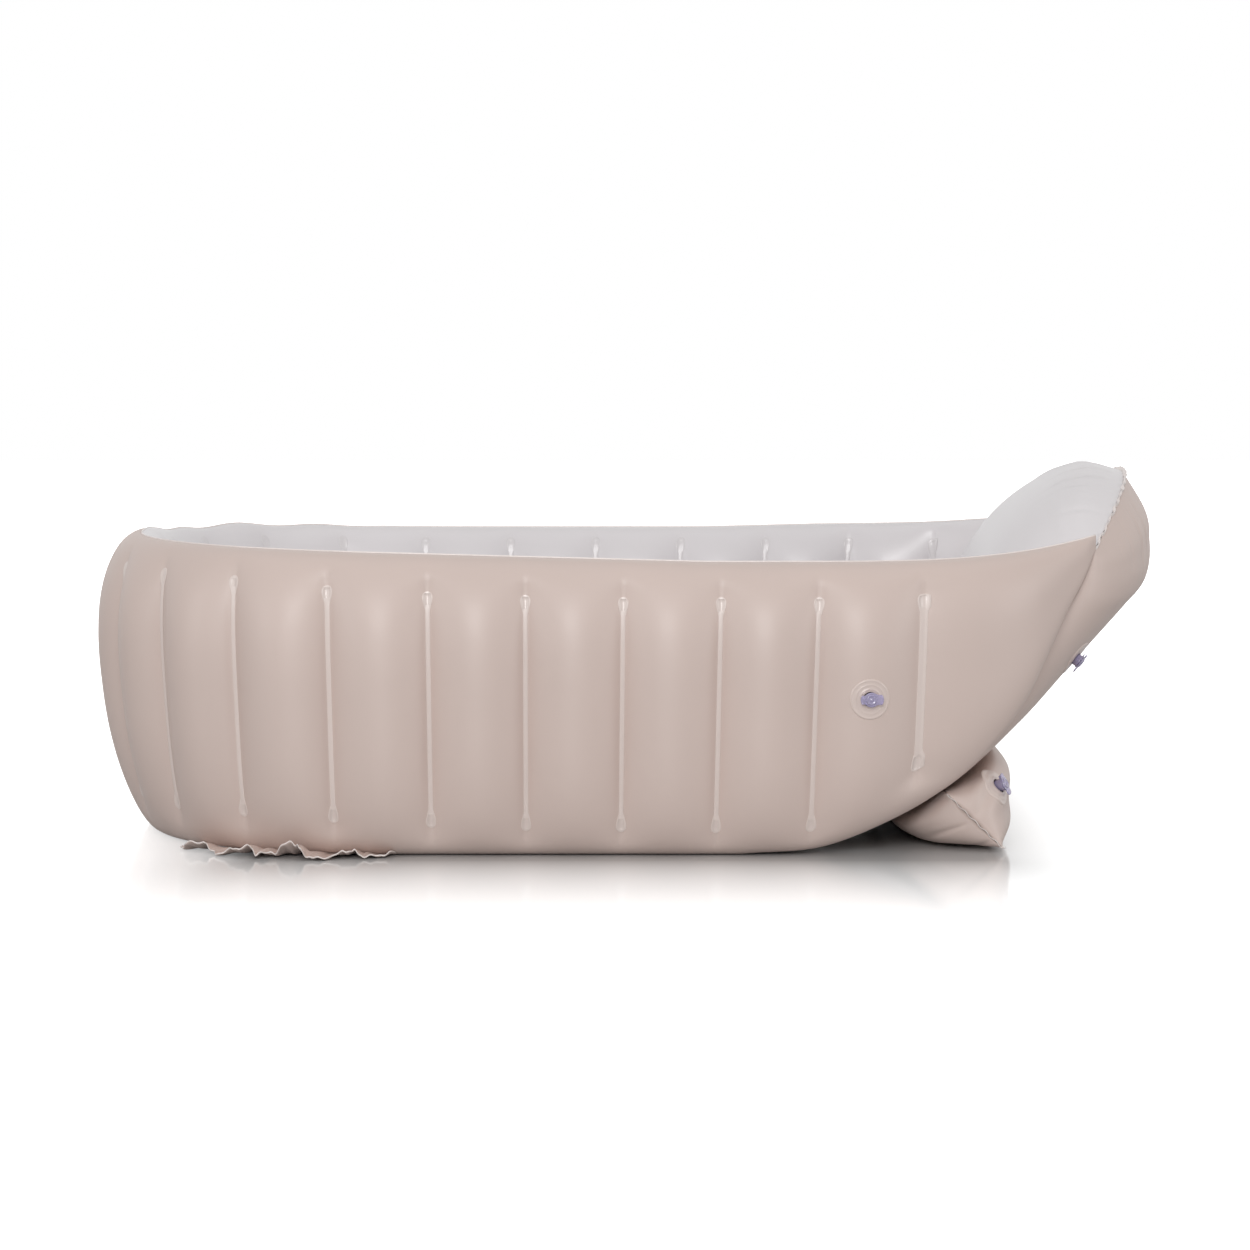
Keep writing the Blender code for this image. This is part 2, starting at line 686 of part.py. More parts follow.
def add_stem(name, frame, top):
    # The tube, with the lug that carries the cap's hinge.
    tube = [
        (STEM_BORE_RADIUS, top - STEM_LENGTH),
        (STEM_RADIUS, top - STEM_LENGTH),
        (STEM_RADIUS, top),
        (STEM_BORE_RADIUS, top),
    ]
    stem = add_object(name, turned(tube), CLEAR)
    stem.matrix_world = frame
    start = (STEM_RADIUS + STEM_BORE_RADIUS) / 2
    centre = (start + LUG_LENGTH / 2, 0.0, top - GAP - LUG_DROP / 2)
    lug = block((LUG_LENGTH, STRAP_WIDTH, LUG_DROP), centre)
    combine(stem, lug, "UNION", f"{name}_lug", frame)
    return stem


def add_cap(name, frame, top):
    # The cap, hinged at its origin: disc, plug, strap and finger tab.
    hinge = frame @ Matrix.Translation((HINGE_REACH, 0.0, top + HINGE_LIFT))
    low = GAP - HINGE_LIFT
    middle = low + CAP_THICKNESS / 2
    lid = disc(CAP_RADIUS, CAP_RADIUS, low, low + CAP_THICKNESS, -HINGE_REACH)
    cap = add_object(name, lid, CLEAR)
    cap.matrix_world = hinge
    narrow = PLUG_RADIUS * PLUG_TAPER_SHARE
    plug = disc(narrow, PLUG_RADIUS, low - PLUG_DEPTH, middle, -HINGE_REACH)
    combine(cap, plug, "UNION", f"{name}_plug", hinge)
    strap_size = (HINGE_REACH, STRAP_WIDTH, CAP_THICKNESS * STRAP_SHARE)
    strap = block(strap_size, (GAP - HINGE_REACH / 2, 0.0, middle))
    combine(cap, strap, "UNION", f"{name}_strap", hinge)
    tab_size = (TAB_REACH, STRAP_WIDTH * TAB_SHARE, CAP_THICKNESS * TAB_SHARE)
    tab = block(tab_size, (-HINGE_REACH - TAB_REACH / 2, 0.0, middle))
    combine(cap, tab, "UNION", f"{name}_tab", hinge)
    return cap


def add_flap(name, frame, bottom):
    # The non-return flap, hinged at its origin on the stem's inner end.
    flap = add_object(name, disc(FLAP_RADIUS, FLAP_RADIUS, -FLAP_THICKNESS, 0.0, -FLAP_RADIUS), CLEAR)
    flap.matrix_world = frame @ Matrix.Translation((FLAP_RADIUS, 0.0, bottom))
    return flap


def add_valve(name, film, point, outward, sideways, pushed_in, neighbours=()):
    # The valve's frame starts on the flange's outer face, with +Z out of the film.
    outward = Vector(outward).normalized()
    lift = FILM / 2 + GAP + FLANGE_THICKNESS + clear_lift(point, outward, neighbours)
    frame = frame_at(Vector(point) + outward * lift, outward, sideways)
    top = STEM_PUSHED_TOP + (0.0 if pushed_in else STEM_TRAVEL)
    hole = disc(SKIN_HOLE_RADIUS, SKIN_HOLE_RADIUS, -CUTTER_OVERRUN / 2, CUTTER_OVERRUN / 2)
    combine(film, hole, "DIFFERENCE", f"{name}_hole_cutter", frame)
    pieces = (
        add_flange(f"{name}_flange", frame),
        add_stem(f"{name}_stem", frame, top),
        add_cap(f"{name}_cap", frame, top),
        add_flap(f"{name}_flap", frame, top - STEM_LENGTH - GAP),
    )
    for piece in pieces:
        piece.data.shade_smooth()
        piece.data.set_sharp_from_angle(angle=math.radians(SHARP_TURN_DEG))


def grid_neighbours(grid, row, column):
    return grid[row - 1 : row + 2, column - 1 : column + 2].reshape(-1, 3)


def without_centre(points):
    return [point for i, point in enumerate(points) if i != len(points) // 2]


def add_wall_valve(outer):
    # On the flat of the last full bay, square to the film there.
    half_bay = RIBS_EACH_SIDE - 0.5
    bays = half_bay + np.array([1.0, 0.0, -1.0]) / BAY_STEPS
    stations = -rib_station(bays, OUTER_RIBS_ROUND_FOOT_SHARE, OUTER_DEPTH)
    low, high = SECTION_SHARES[2:4]
    bay_shares = 0.5 + np.array([1.0, 0.0, -1.0]) / BAY_STEPS
    near = np.array([outer_wall(stations, np.full(3, share), bay_shares) for share in (low, high)])
    point = near[:, 1].mean(axis=0)
    along = Vector(near[0, 0] - near[0, 2])
    up = Vector(near[1, 1] - near[0, 1])
    outward = along.cross(up)
    if outward.y > 0:
        outward = -outward
    add_valve("wall_valve", outer, point, outward, (-1, 0, 0), True, near.reshape(-1, 3))


def add_pillow_valve(name, film, grid, row, column):
    # A valve on one point of a swollen film's grid, square to the film.
    up = grid[row - 1, column] - grid[row + 1, column]
    along = grid[row, column + 1] - grid[row, column - 1]
    outward = Vector(along).cross(Vector(up))
    near = without_centre(grid_neighbours(grid, row, column))
    add_valve(name, film, grid[row, column], outward, up, True, near)


def add_cushion_valve(cushion):
    across, share = cushion_grid()
    grid = cushion_back(across, share)[::-1]
    row = len(grid) - 1 - CUSHION_VALVE_ROW
    add_pillow_valve("cushion_valve", cushion, grid, row, CUSHION_VALVE_COLUMN)


def add_bolster_valve(bolster, grid):
    add_pillow_valve("bolster_valve", bolster, grid, BOLSTER_VALVE_ROW, BOLSTER_VALVE_COLUMN)


def add_floor_valve(floor_top, pitch):
    start = FLOOR_HEAD_X - FLOOR_CHANNELS * pitch
    x = start + (FLOOR_VALVE_CHANNEL - 0.5) * pitch
    crest = (x, SEAM_HALF_WIDTH / 2, FLOOR_HEIGHT - FILM / 2)
    add_valve("floor_valve", floor_top, crest, (0, 0, 1), (0, 1, 0), True)


def add_drain(upper, lower, pitch):
    # A tube through one channel of the mat, with its stopper.
    x = FLOOR_HEAD_X - FLOOR_CHANNELS * pitch + (DRAIN_CHANNEL - 0.5) * pitch
    frame = Matrix.Translation((x, 0.0, 0.0))
    for film, name in ((upper, "drain_top_cutter"), (lower, "drain_bottom_cutter")):
        radius = DRAIN_RADIUS + 2 * GAP
        hole = disc(radius, radius, -CUTTER_OVERRUN, FLOOR_HEIGHT + CUTTER_OVERRUN)
        combine(film, hole, "DIFFERENCE", name, frame)
    seat = FLOOR_HEIGHT + GAP
    rim = seat + DRAIN_FLANGE_THICKNESS
    profile = [
        (DRAIN_BORE_RADIUS, GAP),
        (DRAIN_RADIUS, GAP),
        (DRAIN_RADIUS, seat),
        (DRAIN_FLANGE_RADIUS, seat),
        (DRAIN_FLANGE_RADIUS, rim),
        (DRAIN_BORE_RADIUS, rim),
    ]
    ring = add_object("drain_seat", turned(profile), RUBBER)
    ring.matrix_world = frame
    low = rim + GAP
    middle = low + DRAIN_CAP_THICKNESS / 2
    narrow = DRAIN_CAP_RADIUS * DRAIN_CAP_TAPER_SHARE
    lid = disc(DRAIN_CAP_RADIUS, narrow, low, low + DRAIN_CAP_THICKNESS)
    plug = add_object("drain_plug", lid, RUBBER)
    plug.matrix_world = frame
    narrow = DRAIN_PLUG_RADIUS * DRAIN_PLUG_TAPER_SHARE
    stopper = disc(narrow, DRAIN_PLUG_RADIUS, low - DRAIN_PLUG_DEPTH, middle)
    combine(plug, stopper, "UNION", "drain_stopper", frame)
    grip_size = (DRAIN_GRIP_WIDTH, DRAIN_GRIP_LENGTH, DRAIN_GRIP_HEIGHT)
    grip = block(grip_size, (0.0, 0.0, middle + DRAIN_GRIP_HEIGHT / 2))
    combine(plug, grip, "UNION", "drain_grip", frame)


def build():
    clear_scene()
    outer, _ = add_wall_films()
    add_wall_webs()
    floor_top, floor_bottom, pitch = add_floor_films()
    _, cushion_back_film = add_cushion_films()
    bolster_upper, bolster_points = add_bolster_films()
    add_skirt()
    add_wall_valve(outer)
    add_cushion_valve(cushion_back_film)
    add_bolster_valve(bolster_upper, bolster_points)
    add_floor_valve(floor_top, pitch)
    add_drain(floor_top, floor_bottom, pitch)


build()
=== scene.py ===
import json
import math

import bmesh
import bpy
import numpy as np
from mathutils import Matrix, Vector


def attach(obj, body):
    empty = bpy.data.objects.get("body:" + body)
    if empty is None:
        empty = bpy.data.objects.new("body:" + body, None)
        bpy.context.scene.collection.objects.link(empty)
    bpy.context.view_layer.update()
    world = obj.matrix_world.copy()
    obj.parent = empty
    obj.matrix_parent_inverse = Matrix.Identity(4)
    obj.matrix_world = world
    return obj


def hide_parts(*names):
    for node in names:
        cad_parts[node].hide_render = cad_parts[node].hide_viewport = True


# The inflatable baby bath, dressed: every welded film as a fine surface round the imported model.
# Metres, +Z up, foot end at -X, head end at +X.

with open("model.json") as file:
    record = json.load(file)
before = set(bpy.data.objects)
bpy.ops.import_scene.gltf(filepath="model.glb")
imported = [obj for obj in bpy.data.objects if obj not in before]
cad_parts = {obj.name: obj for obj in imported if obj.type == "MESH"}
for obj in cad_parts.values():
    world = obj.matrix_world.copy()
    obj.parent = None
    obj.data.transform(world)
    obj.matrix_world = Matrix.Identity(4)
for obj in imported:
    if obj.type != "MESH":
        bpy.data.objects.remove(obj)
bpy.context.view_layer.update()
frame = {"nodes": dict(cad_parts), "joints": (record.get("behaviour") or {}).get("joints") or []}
print("frame loaded")

filmThickness = 0.0004
halfSeamGap = 0.0005


# Shape helpers


def smoothStep(low, high, value):
    # 0 below low, 1 above high, and 3t^2 - 2t^3 of the way between
    t = np.clip((np.asarray(value, float) - low) / (high - low), 0.0, 1.0)
    return t * t * (3 - 2 * t)


def smoothRise(table, at):
    # a cubic through given points, each with the slope of its neighbours
    x = np.array([point[0] for point in table])
    y = np.array([point[1] for point in table])
    slope = np.gradient(y, x)
    at = np.clip(np.asarray(at, float), x[0], x[-1])
    i = np.clip(np.searchsorted(x, at, side="right") - 1, 0, len(x) - 2)
    step = x[i + 1] - x[i]
    t = (at - x[i]) / step
    first = (1 + 2 * t) * (1 - t) ** 2 * y[i] + t * (1 - t) ** 2 * step * slope[i]
    return first + t**2 * (3 - 2 * t) * y[i + 1] + t**2 * (t - 1) * step * slope[i + 1]


def unit(vectors):
    return vectors / np.maximum(np.linalg.norm(vectors, axis=-1, keepdims=True), 1e-12)


def eased(steps):
    # from 0 to 1 by half a cosine wave, with the steps closest together at both ends
    return 0.5 - 0.5 * np.cos(math.pi * np.arange(steps + 1) / steps)


def meshPiece(name, points, faces, material, smooth=True):
    mesh = bpy.data.meshes.new(name)
    mesh.from_pydata(points.reshape(-1, 3), [], faces)
    mesh.polygons.foreach_set("use_smooth", np.full(len(mesh.polygons), smooth))
    mesh.materials.append(material)
    mesh.update()
    piece = bpy.data.objects.new(name, mesh)
    bpy.context.scene.collection.objects.link(piece)
    return piece


def shellPiece(name, shells, material):
    # several closed surfaces in one piece, each given as its points and its faces
    starts = np.cumsum([0] + [points.size // 3 for points, _ in shells])
    faces = [[int(start + i) for i in face] for start, shell in zip(starts, shells) for face in shell[1]]
    points = np.concatenate([points.reshape(-1, 3) for points, _ in shells])
    piece = meshPiece(name, points, faces, material)
    turnOutwards(piece)
    return piece


def gridFaces(rows, columns, closedRows=False, closedColumns=False, flipped=False):
    # quads of a grid whose rows or columns may join up with the first again
    lastRow = rows if closedRows else rows - 1
    lastColumn = columns if closedColumns else columns - 1
    i, j = np.meshgrid(np.arange(lastRow), np.arange(lastColumn), indexing="ij")
    nextI = (i + 1) % rows
    nextJ = (j + 1) % columns
    corners = [i * columns + j, i * columns + nextJ, nextI * columns + nextJ, nextI * columns + j]
    if flipped:
        corners.reverse()
    return np.stack(corners, axis=-1).reshape(-1, 4)


def openHole(points, faces, hole, radius):
    # takes out the faces near a hole's axis and draws the edge that is left onto its circle
    axes = np.array(hole.to_3x3())
    local = (points - np.array(hole.translation)) @ axes
    middle = local[faces].mean(axis=1)
    inside = (np.hypot(middle[:, 0], middle[:, 1]) < radius) & (np.abs(middle[:, 2]) < 3 * radius)
    edge = np.intersect1d(faces[inside], faces[~inside])
    reach = np.hypot(local[edge, 0], local[edge, 1])
    local[edge, :2] *= (radius / reach)[:, None]
    return local @ axes.T + np.array(hole.translation), faces[~inside]


def thickenFilm(piece):
    thicken = piece.modifiers.new("film", "SOLIDIFY")
    thicken.thickness = filmThickness
    thicken.offset = 0.0


def filmPiece(name, points, material, flipped=False, holes=()):
    # one welded film: a grid of quads, given its thickness both ways
    rows, columns = points.shape[:2]
    faces = gridFaces(rows, columns, flipped=flipped)
    points = points.reshape(-1, 3)
    for hole, radius in holes:
        points, faces = openHole(points, faces, hole, radius)
    used, faces = np.unique(faces, return_inverse=True)
    piece = meshPiece(name, points[used], faces.reshape(-1, 4).tolist(), material)
    thickenFilm(piece)
    return piece


def tubeFaces(rows, columns):
    # a grid joined round its columns, with a cap at each end
    faces = gridFaces(rows, columns, closedColumns=True).tolist()
    faces.append(list(range(columns - 1, -1, -1)))
    faces.append([(rows - 1) * columns + j for j in range(columns)])
    return faces


def ribbonShell(line, across, through, width, thickness, squareness=1.0):
    # a rounded ribbon carried along a line: at every point an ellipse of width by
    # thickness, made squarer by raising its sine and cosine to a power below one
    turn = np.linspace(0.0, 2 * math.pi, 17)[:-1]
    side = np.sign(np.cos(turn)) * np.abs(np.cos(turn)) ** squareness
    rise = np.sign(np.sin(turn)) * np.abs(np.sin(turn)) ** squareness
    width, thickness = [np.broadcast_to(size, len(line))[:, None, None] / 2 for size in (width, thickness)]
    across, through = [np.broadcast_to(way, line.shape)[:, None, :] for way in (across, through)]
    ring = line[:, None, :] + across * (side[None, :, None] * width) + through * (rise[None, :, None] * thickness)
    return ring, tubeFaces(*ring.shape[:2])


def ribbonPiece(name, line, across, through, width, thickness, material):
    return shellPiece(name, [ribbonShell(line, across, through, width, thickness)], material)


def turnedShell(profile, place, closed=True, steps=72, drape=None):
    # A profile of radius and height turned round the place's z axis. A closed profile
    # makes a ring, an open one gets a flat cap at each end. Drape adds a height at x, y.
    profile = np.array(profile)
    turn = np.linspace(0.0, 2 * math.pi, steps, endpoint=False)[:, None]
    x = np.cos(turn) * profile[None, :, 0]
    y = np.sin(turn) * profile[None, :, 0]
    z = np.broadcast_to(profile[None, :, 1], x.shape)
    if drape is not None:
        z = z + drape(x, y)
    points = np.stack([x, y, z], axis=-1)
    rows, columns = points.shape[:2]
    faces = gridFaces(rows, columns, closedRows=True, closedColumns=closed).tolist()
    if not closed:
        faces.append([i * columns for i in range(rows)])
        faces.append([i * columns + columns - 1 for i in range(rows - 1, -1, -1)])
    return intoPlace(points, place), faces


def intoPlace(points, place):
    return points @ np.array(place.to_3x3()).T + np.array(place.translation)


def turnOutwards(piece):
    bm = bmesh.new()
    bm.from_mesh(piece.data)
    bmesh.ops.recalc_face_normals(bm, faces=bm.faces)
    bm.to_mesh(piece.data)
    bm.free()
    piece.data.update()


# Materials

filmLook = {
    "beige": (0.622, 0.503, 0.455),
    "white": (0.735, 0.702, 0.712),
    # the outer welds' beige is lighter than the film's: a painted sheen on the strips, besides their real gloss from
    # lower roughness and more coat
    "weldBeigeSheen": (0.710, 0.605, 0.560),
    "weldWhite": (0.700, 0.665, 0.670),
    "cream": (0.800, 0.730, 0.700),
    "clear": (0.560, 0.500, 0.740),
    "ring": (0.670, 0.555, 0.505),
    "rubber": (0.700, 0.690, 0.680),
    "roughness": 0.48,
    "whiteRoughness": 0.40,
    "weldRoughness": 0.34,
    "clearRoughness": 0.12,
    "rubberRoughness": 0.50,
    "coat": 0.05,
    "whiteCoat": 0.25,
    "weldCoat": 0.30,
    "clearCoat": 0.60,
    "coatRoughness": 0.22,
    "specular": 0.8,
    "refraction": 1.5,
    "transmission": 0.45,
    "toneSpread": 0.05,
    "roughnessSpread": 0.05,
    "rippleDepth": 0.00016,
    "clearRippleDepth": 0.00005,
}
grainLook = {"Grain Scale": 1400.0, "Ripple Scale": 45.0, "Cloud Scale": 7.0, "Grain Share": 0.2}
pureWhite = (1.0, 1.0, 1.0, 1.0)


def feed(tree, node, sockets):
    # each socket holds a value or is fed by another node's output
    for name, given in sockets.items():
        if isinstance(given, bpy.types.NodeSocket):
            tree.links.new(given, node.inputs[name])
        else:
            node.inputs[name].default_value = given


def addNode(tree, kind, sockets, **settings):
    node = tree.nodes.new("ShaderNode" + kind)
    for name, setting in settings.items():
        setattr(node, name, setting)
    feed(tree, node, sockets)
    return node


def filmGrainGroup():
    # grain of calendered vinyl, slow ripples, and a cloudy tone that varies over the film
    group = bpy.data.node_groups.new("vinylGrain", "ShaderNodeTree")
    for name, value in grainLook.items():
        socket = group.interface.new_socket(name=name, in_out="INPUT", socket_type="NodeSocketFloat")
        socket.default_value = value
    for name in ("Height", "Cloud"):
        group.interface.new_socket(name=name, in_out="OUTPUT", socket_type="NodeSocketFloat")
    given = group.nodes.new("NodeGroupInput").outputs
    place = addNode(group, "TexCoord", {}).outputs["Object"]
    grain, ripple, cloud = [
        addNode(group, "TexNoise", {"Vector": place, "Scale": given[name], "Detail": detail}).outputs["Fac"]
        for name, detail in (("Grain Scale", 2.0), ("Ripple Scale", 3.0), ("Cloud Scale", 2.0))
    ]
    blend = addNode(group, "Mix", {"Factor": given["Grain Share"], "A": ripple, "B": grain})
    feed(group, group.nodes.new("NodeGroupOutput"), {"Height": blend.outputs["Result"], "Cloud": cloud})
    return group


vinylGrain = filmGrainGroup()


def vinylMaterial(name, colour, roughness, coat, depth=filmLook["rippleDepth"]):
    made = bpy.data.materials.new(name)
    made.use_nodes = True
    tree = made.node_tree
    grain = addNode(tree, "Group", grainLook, node_tree=vinylGrain)
    cloud = grain.outputs["Cloud"]
    darker = [c * (1 - filmLook["toneSpread"]) for c in colour] + [1.0]
    lighter = [min(c * (1 + filmLook["toneSpread"]), 1.0) for c in colour] + [1.0]
    tone = addNode(tree, "Mix", {"Factor": cloud, "A": darker, "B": lighter}, data_type="RGBA")
    low, high = roughness - filmLook["roughnessSpread"], roughness + filmLook["roughnessSpread"]
    gloss = addNode(tree, "MapRange", {"Value": cloud, "To Min": low, "To Max": high})
    bump = addNode(tree, "Bump", {"Height": grain.outputs["Height"], "Strength": 1.0, "Distance": depth})
    sockets = {
        "Base Color": tone.outputs["Result"],
        "Roughness": gloss.outputs["Result"],
        "Normal": bump.outputs["Normal"],
        "Coat Weight": coat,
        "Coat Roughness": filmLook["coatRoughness"],
        "Specular IOR Level": filmLook["specular"],
        "IOR": filmLook["refraction"],
    }
    feed(tree, tree.nodes["Principled BSDF"], sockets)
    return made


def weldMaterial(name, colour):
    return vinylMaterial(name, colour, filmLook["weldRoughness"], filmLook["weldCoat"])


def clearVinylMaterial(name):
    look = (filmLook["clear"], filmLook["clearRoughness"], filmLook["clearCoat"], filmLook["clearRippleDepth"])
    made = vinylMaterial(name, *look)
    shader = made.node_tree.nodes["Principled BSDF"]
    shader.inputs["Transmission Weight"].default_value = filmLook["transmission"]
    return made


beigeVinyl = vinylMaterial("beigeVinyl", filmLook["beige"], filmLook["roughness"], filmLook["coat"])
whiteVinyl = vinylMaterial("whiteVinyl", filmLook["white"], filmLook["whiteRoughness"], filmLook["whiteCoat"])
# the outer weld strips' lighter tone is a painted sheen; their gloss from roughness and coat is real
beigeWeldSheen = weldMaterial("beigeWeldSheen", filmLook["weldBeigeSheen"])
whiteWeld = weldMaterial("whiteWeld", filmLook["weldWhite"])
creamWeld = weldMaterial("creamWeld", filmLook["cream"])
clearVinyl = clearVinylMaterial("clearVinyl")
valveRing = weldMaterial("valveRing", filmLook["ring"])
drainRubber = vinylMaterial("drainRubber", filmLook["rubber"], filmLook["rubberRoughness"], filmLook["coat"])
print("materials made")


# Valves: their places come first, because the films have holes for them

valve = {
    "holeRadius": 0.0073,
    "drapeReach": 0.0210,
    "ringInner": 0.0065,
    "ringOuter": 0.0176,
    "ringHeight": 0.00045,
    "ringRidges": ((0.0087, 0.0008, 0.00030), (0.0125, 0.0006, 0.00016), (0.0163, 0.0008, 0.00026)),
    "stemRadius": 0.0056,
    "boreRadius": 0.0041,
    "stemLength": 0.0200,
    "stemTop": 0.0040,
    "lidGap": 0.0003,
    "lidRadius": 0.0063,
    "lidThickness": 0.0012,
    "strapReach": 0.0094,
    "strapHalfWidth": 0.0038,
    "tabReach": 0.0108,
    "tabHalfWidth": 0.0044,
}


def nodePoints(name):
    mesh = frame["nodes"][name].data
    points = np.empty(len(mesh.vertices) * 3)
    mesh.vertices.foreach_get("co", points)
    return points.reshape(-1, 3)


def valvePlace(name):
    # the origin lies on the flange's outer face, z points out of the film, and x runs
    # along the cap's strap to its hinge
    joints = {joint["name"]: joint for joint in frame["joints"]}
    z = Vector(joints[name + "_slide"]["axis"]).normalized()
    y = Vector(joints[name + "_cap_hinge"]["axis"]).normalized()
    x = y.cross(z)
    axes = np.array([x, y, z]).T
    local = nodePoints(name + "_flange") @ axes
    low, high = local.min(axis=0), local.max(axis=0)
    middle = axes @ np.array([(low[0] + high[0]) / 2, (low[1] + high[1]) / 2, high[2]])
    return Matrix.Translation(middle) @ Matrix(axes.tolist()).to_4x4()


# Wall chamber

wall = {
    "footSeamX": -0.4456,
    "footBendX": -0.2000,
    "taperStartX": 0.16831,
    "tipX": 0.41731,
    "seamHalfWidth": 0.2620,
    "tipHalfWidth": 0.1800,
    "footRoundness": 2.5,
    "taperPower": 2.2,
    "ribPitch": 0.0846,
    "ribsEachSide": 11,
    "footCrowding": 1.07,
    "crestZ": 0.2540,
    "footCrestZ": 0.2680,
    "tipCrestZ": 0.2720,
    "footRiseStartX": 0.0700,
    "headRiseStartX": 0.18431,
    "baseLiftStartX": 0.10831,
    "endHeight": 0.0120,
    "nearRisePower": 1.0,
    "farRisePower": 6.0,
    "farDip": 0.0055,
    "farDipX": -0.4280,
    "farDipHalfWidth": 0.0280,
    "scallop": 0.0022,
    "scallopFade": (0.22, 0.32),
    "farHeadRise": 0.0036,
    "farHeadStart": (0.05, 0.25),
    "farHeadEnd": (0.34, 0.41),
    "farFade": 0.08,
    "bulgePower": 0.8,
    "valleyPower": 0.8,
    "topSquareness": 3.4,
    "footTopSquareness": 2.5,
    "baseSquareness": 3.8,
    "footBaseSquareness": 2.4,
    "footLean": 0.33,
    "fan": 0.035,
    "fanCentreX": -0.0750,
    "columnsPerBay": 26,
    "lastColumns": 44,
    "tipRounding": 0.06,
    "rows": 56,
    "sectionReach": 0.055,
    "webHeight": (0.03, 0.97),
    "webDepth": (0.006, 0.994),
}
baseLift = (
    (0.00, 0.000), (0.25, 0.030), (0.39, 0.095), (0.51, 0.170), (0.65, 0.300), (0.74, 0.440),
    (0.83, 0.640), (0.89, 0.775), (0.95, 0.890), (1.00, 1.000),
)
outerSide = {
    "outward": 1.0,
    "depth": 0.0345,
    "bulge": 0.0170,
    "depthPower": 0.9,
    "ribsRoundFoot": 5.65,
    "weldTops": (0.247, 0.247, 0.247, 0.246, 0.243, 0.236, 0.231, 0.228, 0.226, 0.226, 0.226, 0.228, 0.228),
    "weldFeet": (0.034, 0.034, 0.034, 0.032, 0.032, 0.0295, 0.026, 0.023, 0.022, 0.021, 0.022, 0.074, 0.074),
}
innerSide = {
    "outward": -1.0,
    "depth": 0.0235,
    "bulge": 0.0135,
    "depthPower": 2.2,
    "ribsRoundFoot": 4.98,
    "weldTops": (0.252, 0.252, 0.252, 0.250, 0.247, 0.245, 0.245, 0.245, 0.245, 0.245, 0.245, 0.245, 0.245),
    "weldFeet": (0.045,) * 11 + (0.110, 0.110),
}
strip = {
    "halfWidth": 0.0023,
    "headHalfWidth": 0.0045,
    "flareLength": 0.0180,
    "proud": 0.0005,
    "pastLastRib": 0.04,
    "dotRadius": 0.0010,
    "dotShare": 0.9,
    "fade": 0.0240,
    "fadeShare": 0.72,
    "rippleDepth": 0.00022,
    "rippleLength": 0.0135,
    "rippleReach": 0.011,
    "rippleStart": (0.001, 0.006),
}


def footQuarter():
    # a quarter of a superellipse, from the middle of the foot to the bend
    turn = np.linspace(0.0, math.pi / 2, 1200)
    power = 2 / wall["footRoundness"]
    x = wall["footBendX"] - (wall["footBendX"] - wall["footSeamX"]) * np.cos(turn) ** power
    y = wall["seamHalfWidth"] * np.sin(turn) ** power
    along = np.concatenate([[0.0], np.cumsum(np.hypot(np.diff(x), np.diff(y)))])
    return x, y, along


quarterX, quarterY, quarterAlong = footQuarter()
quarterLength = quarterAlong[-1]
tipStation = quarterLength + wall["tipX"] - wall["footBendX"]


def seamPlan(station):
    # the seam line in plan: the foot's quarter curve, a straight, then a power-law taper
    station = np.asarray(station, float)
    side = np.where(station < 0, -1.0, 1.0)

    def place(along):
        foot = np.minimum(along, quarterLength)
        beyond = np.maximum(along - quarterLength, 0.0)
        x = np.interp(foot, quarterAlong, quarterX) + beyond
        y = np.interp(foot, quarterAlong, quarterY)
        taper = np.clip((x - wall["taperStartX"]) / (wall["tipX"] - wall["taperStartX"]), 0.0, None)
        return x, y - (wall["seamHalfWidth"] - wall["tipHalfWidth"]) * taper ** wall["taperPower"]

    along = np.abs(station)
    near = quarterLength / 200
    x, y = place(along)
    aheadX, aheadY = place(along + near)
    behindX, behindY = place(np.abs(along - near))
    behindY = np.where(along < near, -behindY, behindY)
    runX = aheadX - behindX
    runY = aheadY - behindY
    size = np.hypot(runX, runY)
    return x, side * y, -runY / size, side * runX / size


def ribStation(count, side):
    # Ribs share the foot's quarter along the film itself, which stands off the seam line
    # by its depth, a little closer in the middle, and then follow the straight by the pitch.
    steps = np.abs(np.asarray(count, float))
    _, _, normalX, normalY = seamPlan(quarterAlong)
    filmAlong = quarterAlong + side["outward"] * side["depth"] * np.arctan2(normalY, -normalX)
    share = (np.minimum(steps, side["ribsRoundFoot"]) / side["ribsRoundFoot"]) ** wall["footCrowding"]
    foot = np.interp(share * filmAlong[-1], filmAlong, quarterAlong)
    return np.sign(count) * (foot + np.maximum(steps - side["ribsRoundFoot"], 0.0) * wall["ribPitch"])


def crestHeight(x, station=0.0):
    # the rim climbs to the foot, early on the near side and late on the far side, where
    # it sinks a little past the foot's middle and is drawn down at each rib
    station = np.asarray(station, float)
    foot = (wall["footRiseStartX"] - x) / (wall["footRiseStartX"] - wall["footSeamX"])
    head = (x - wall["headRiseStartX"]) / (wall["tipX"] - wall["headRiseStartX"])
    power = np.where(station > 0, wall["farRisePower"], wall["nearRisePower"])
    rise = (wall["footCrestZ"] - wall["crestZ"]) * np.clip(foot, 0.0, None) ** power
    height = wall["crestZ"] + rise + (wall["tipCrestZ"] - wall["crestZ"]) * np.clip(head, 0.0, None) ** 3
    dip = wall["farDip"] * np.exp(-(((x - wall["farDipX"]) / wall["farDipHalfWidth"]) ** 2))
    ribs = np.arange(wall["ribsEachSide"] + 1.0)
    count = np.interp(station, ribStation(ribs, innerSide), ribs)
    drawn = 0.5 * np.cos(2 * math.pi * (count - 0.25))
    scallop = wall["scallop"] * drawn * smoothStep(*wall["scallopFade"], -x) * smoothStep(0.5, 1.5, count)
    headRise = wall["farHeadRise"] * smoothStep(*wall["farHeadStart"], x) * (1 - smoothStep(*wall["farHeadEnd"], x))
    return height + smoothStep(0.0, wall["farFade"], station) * (headRise - dip - scallop)


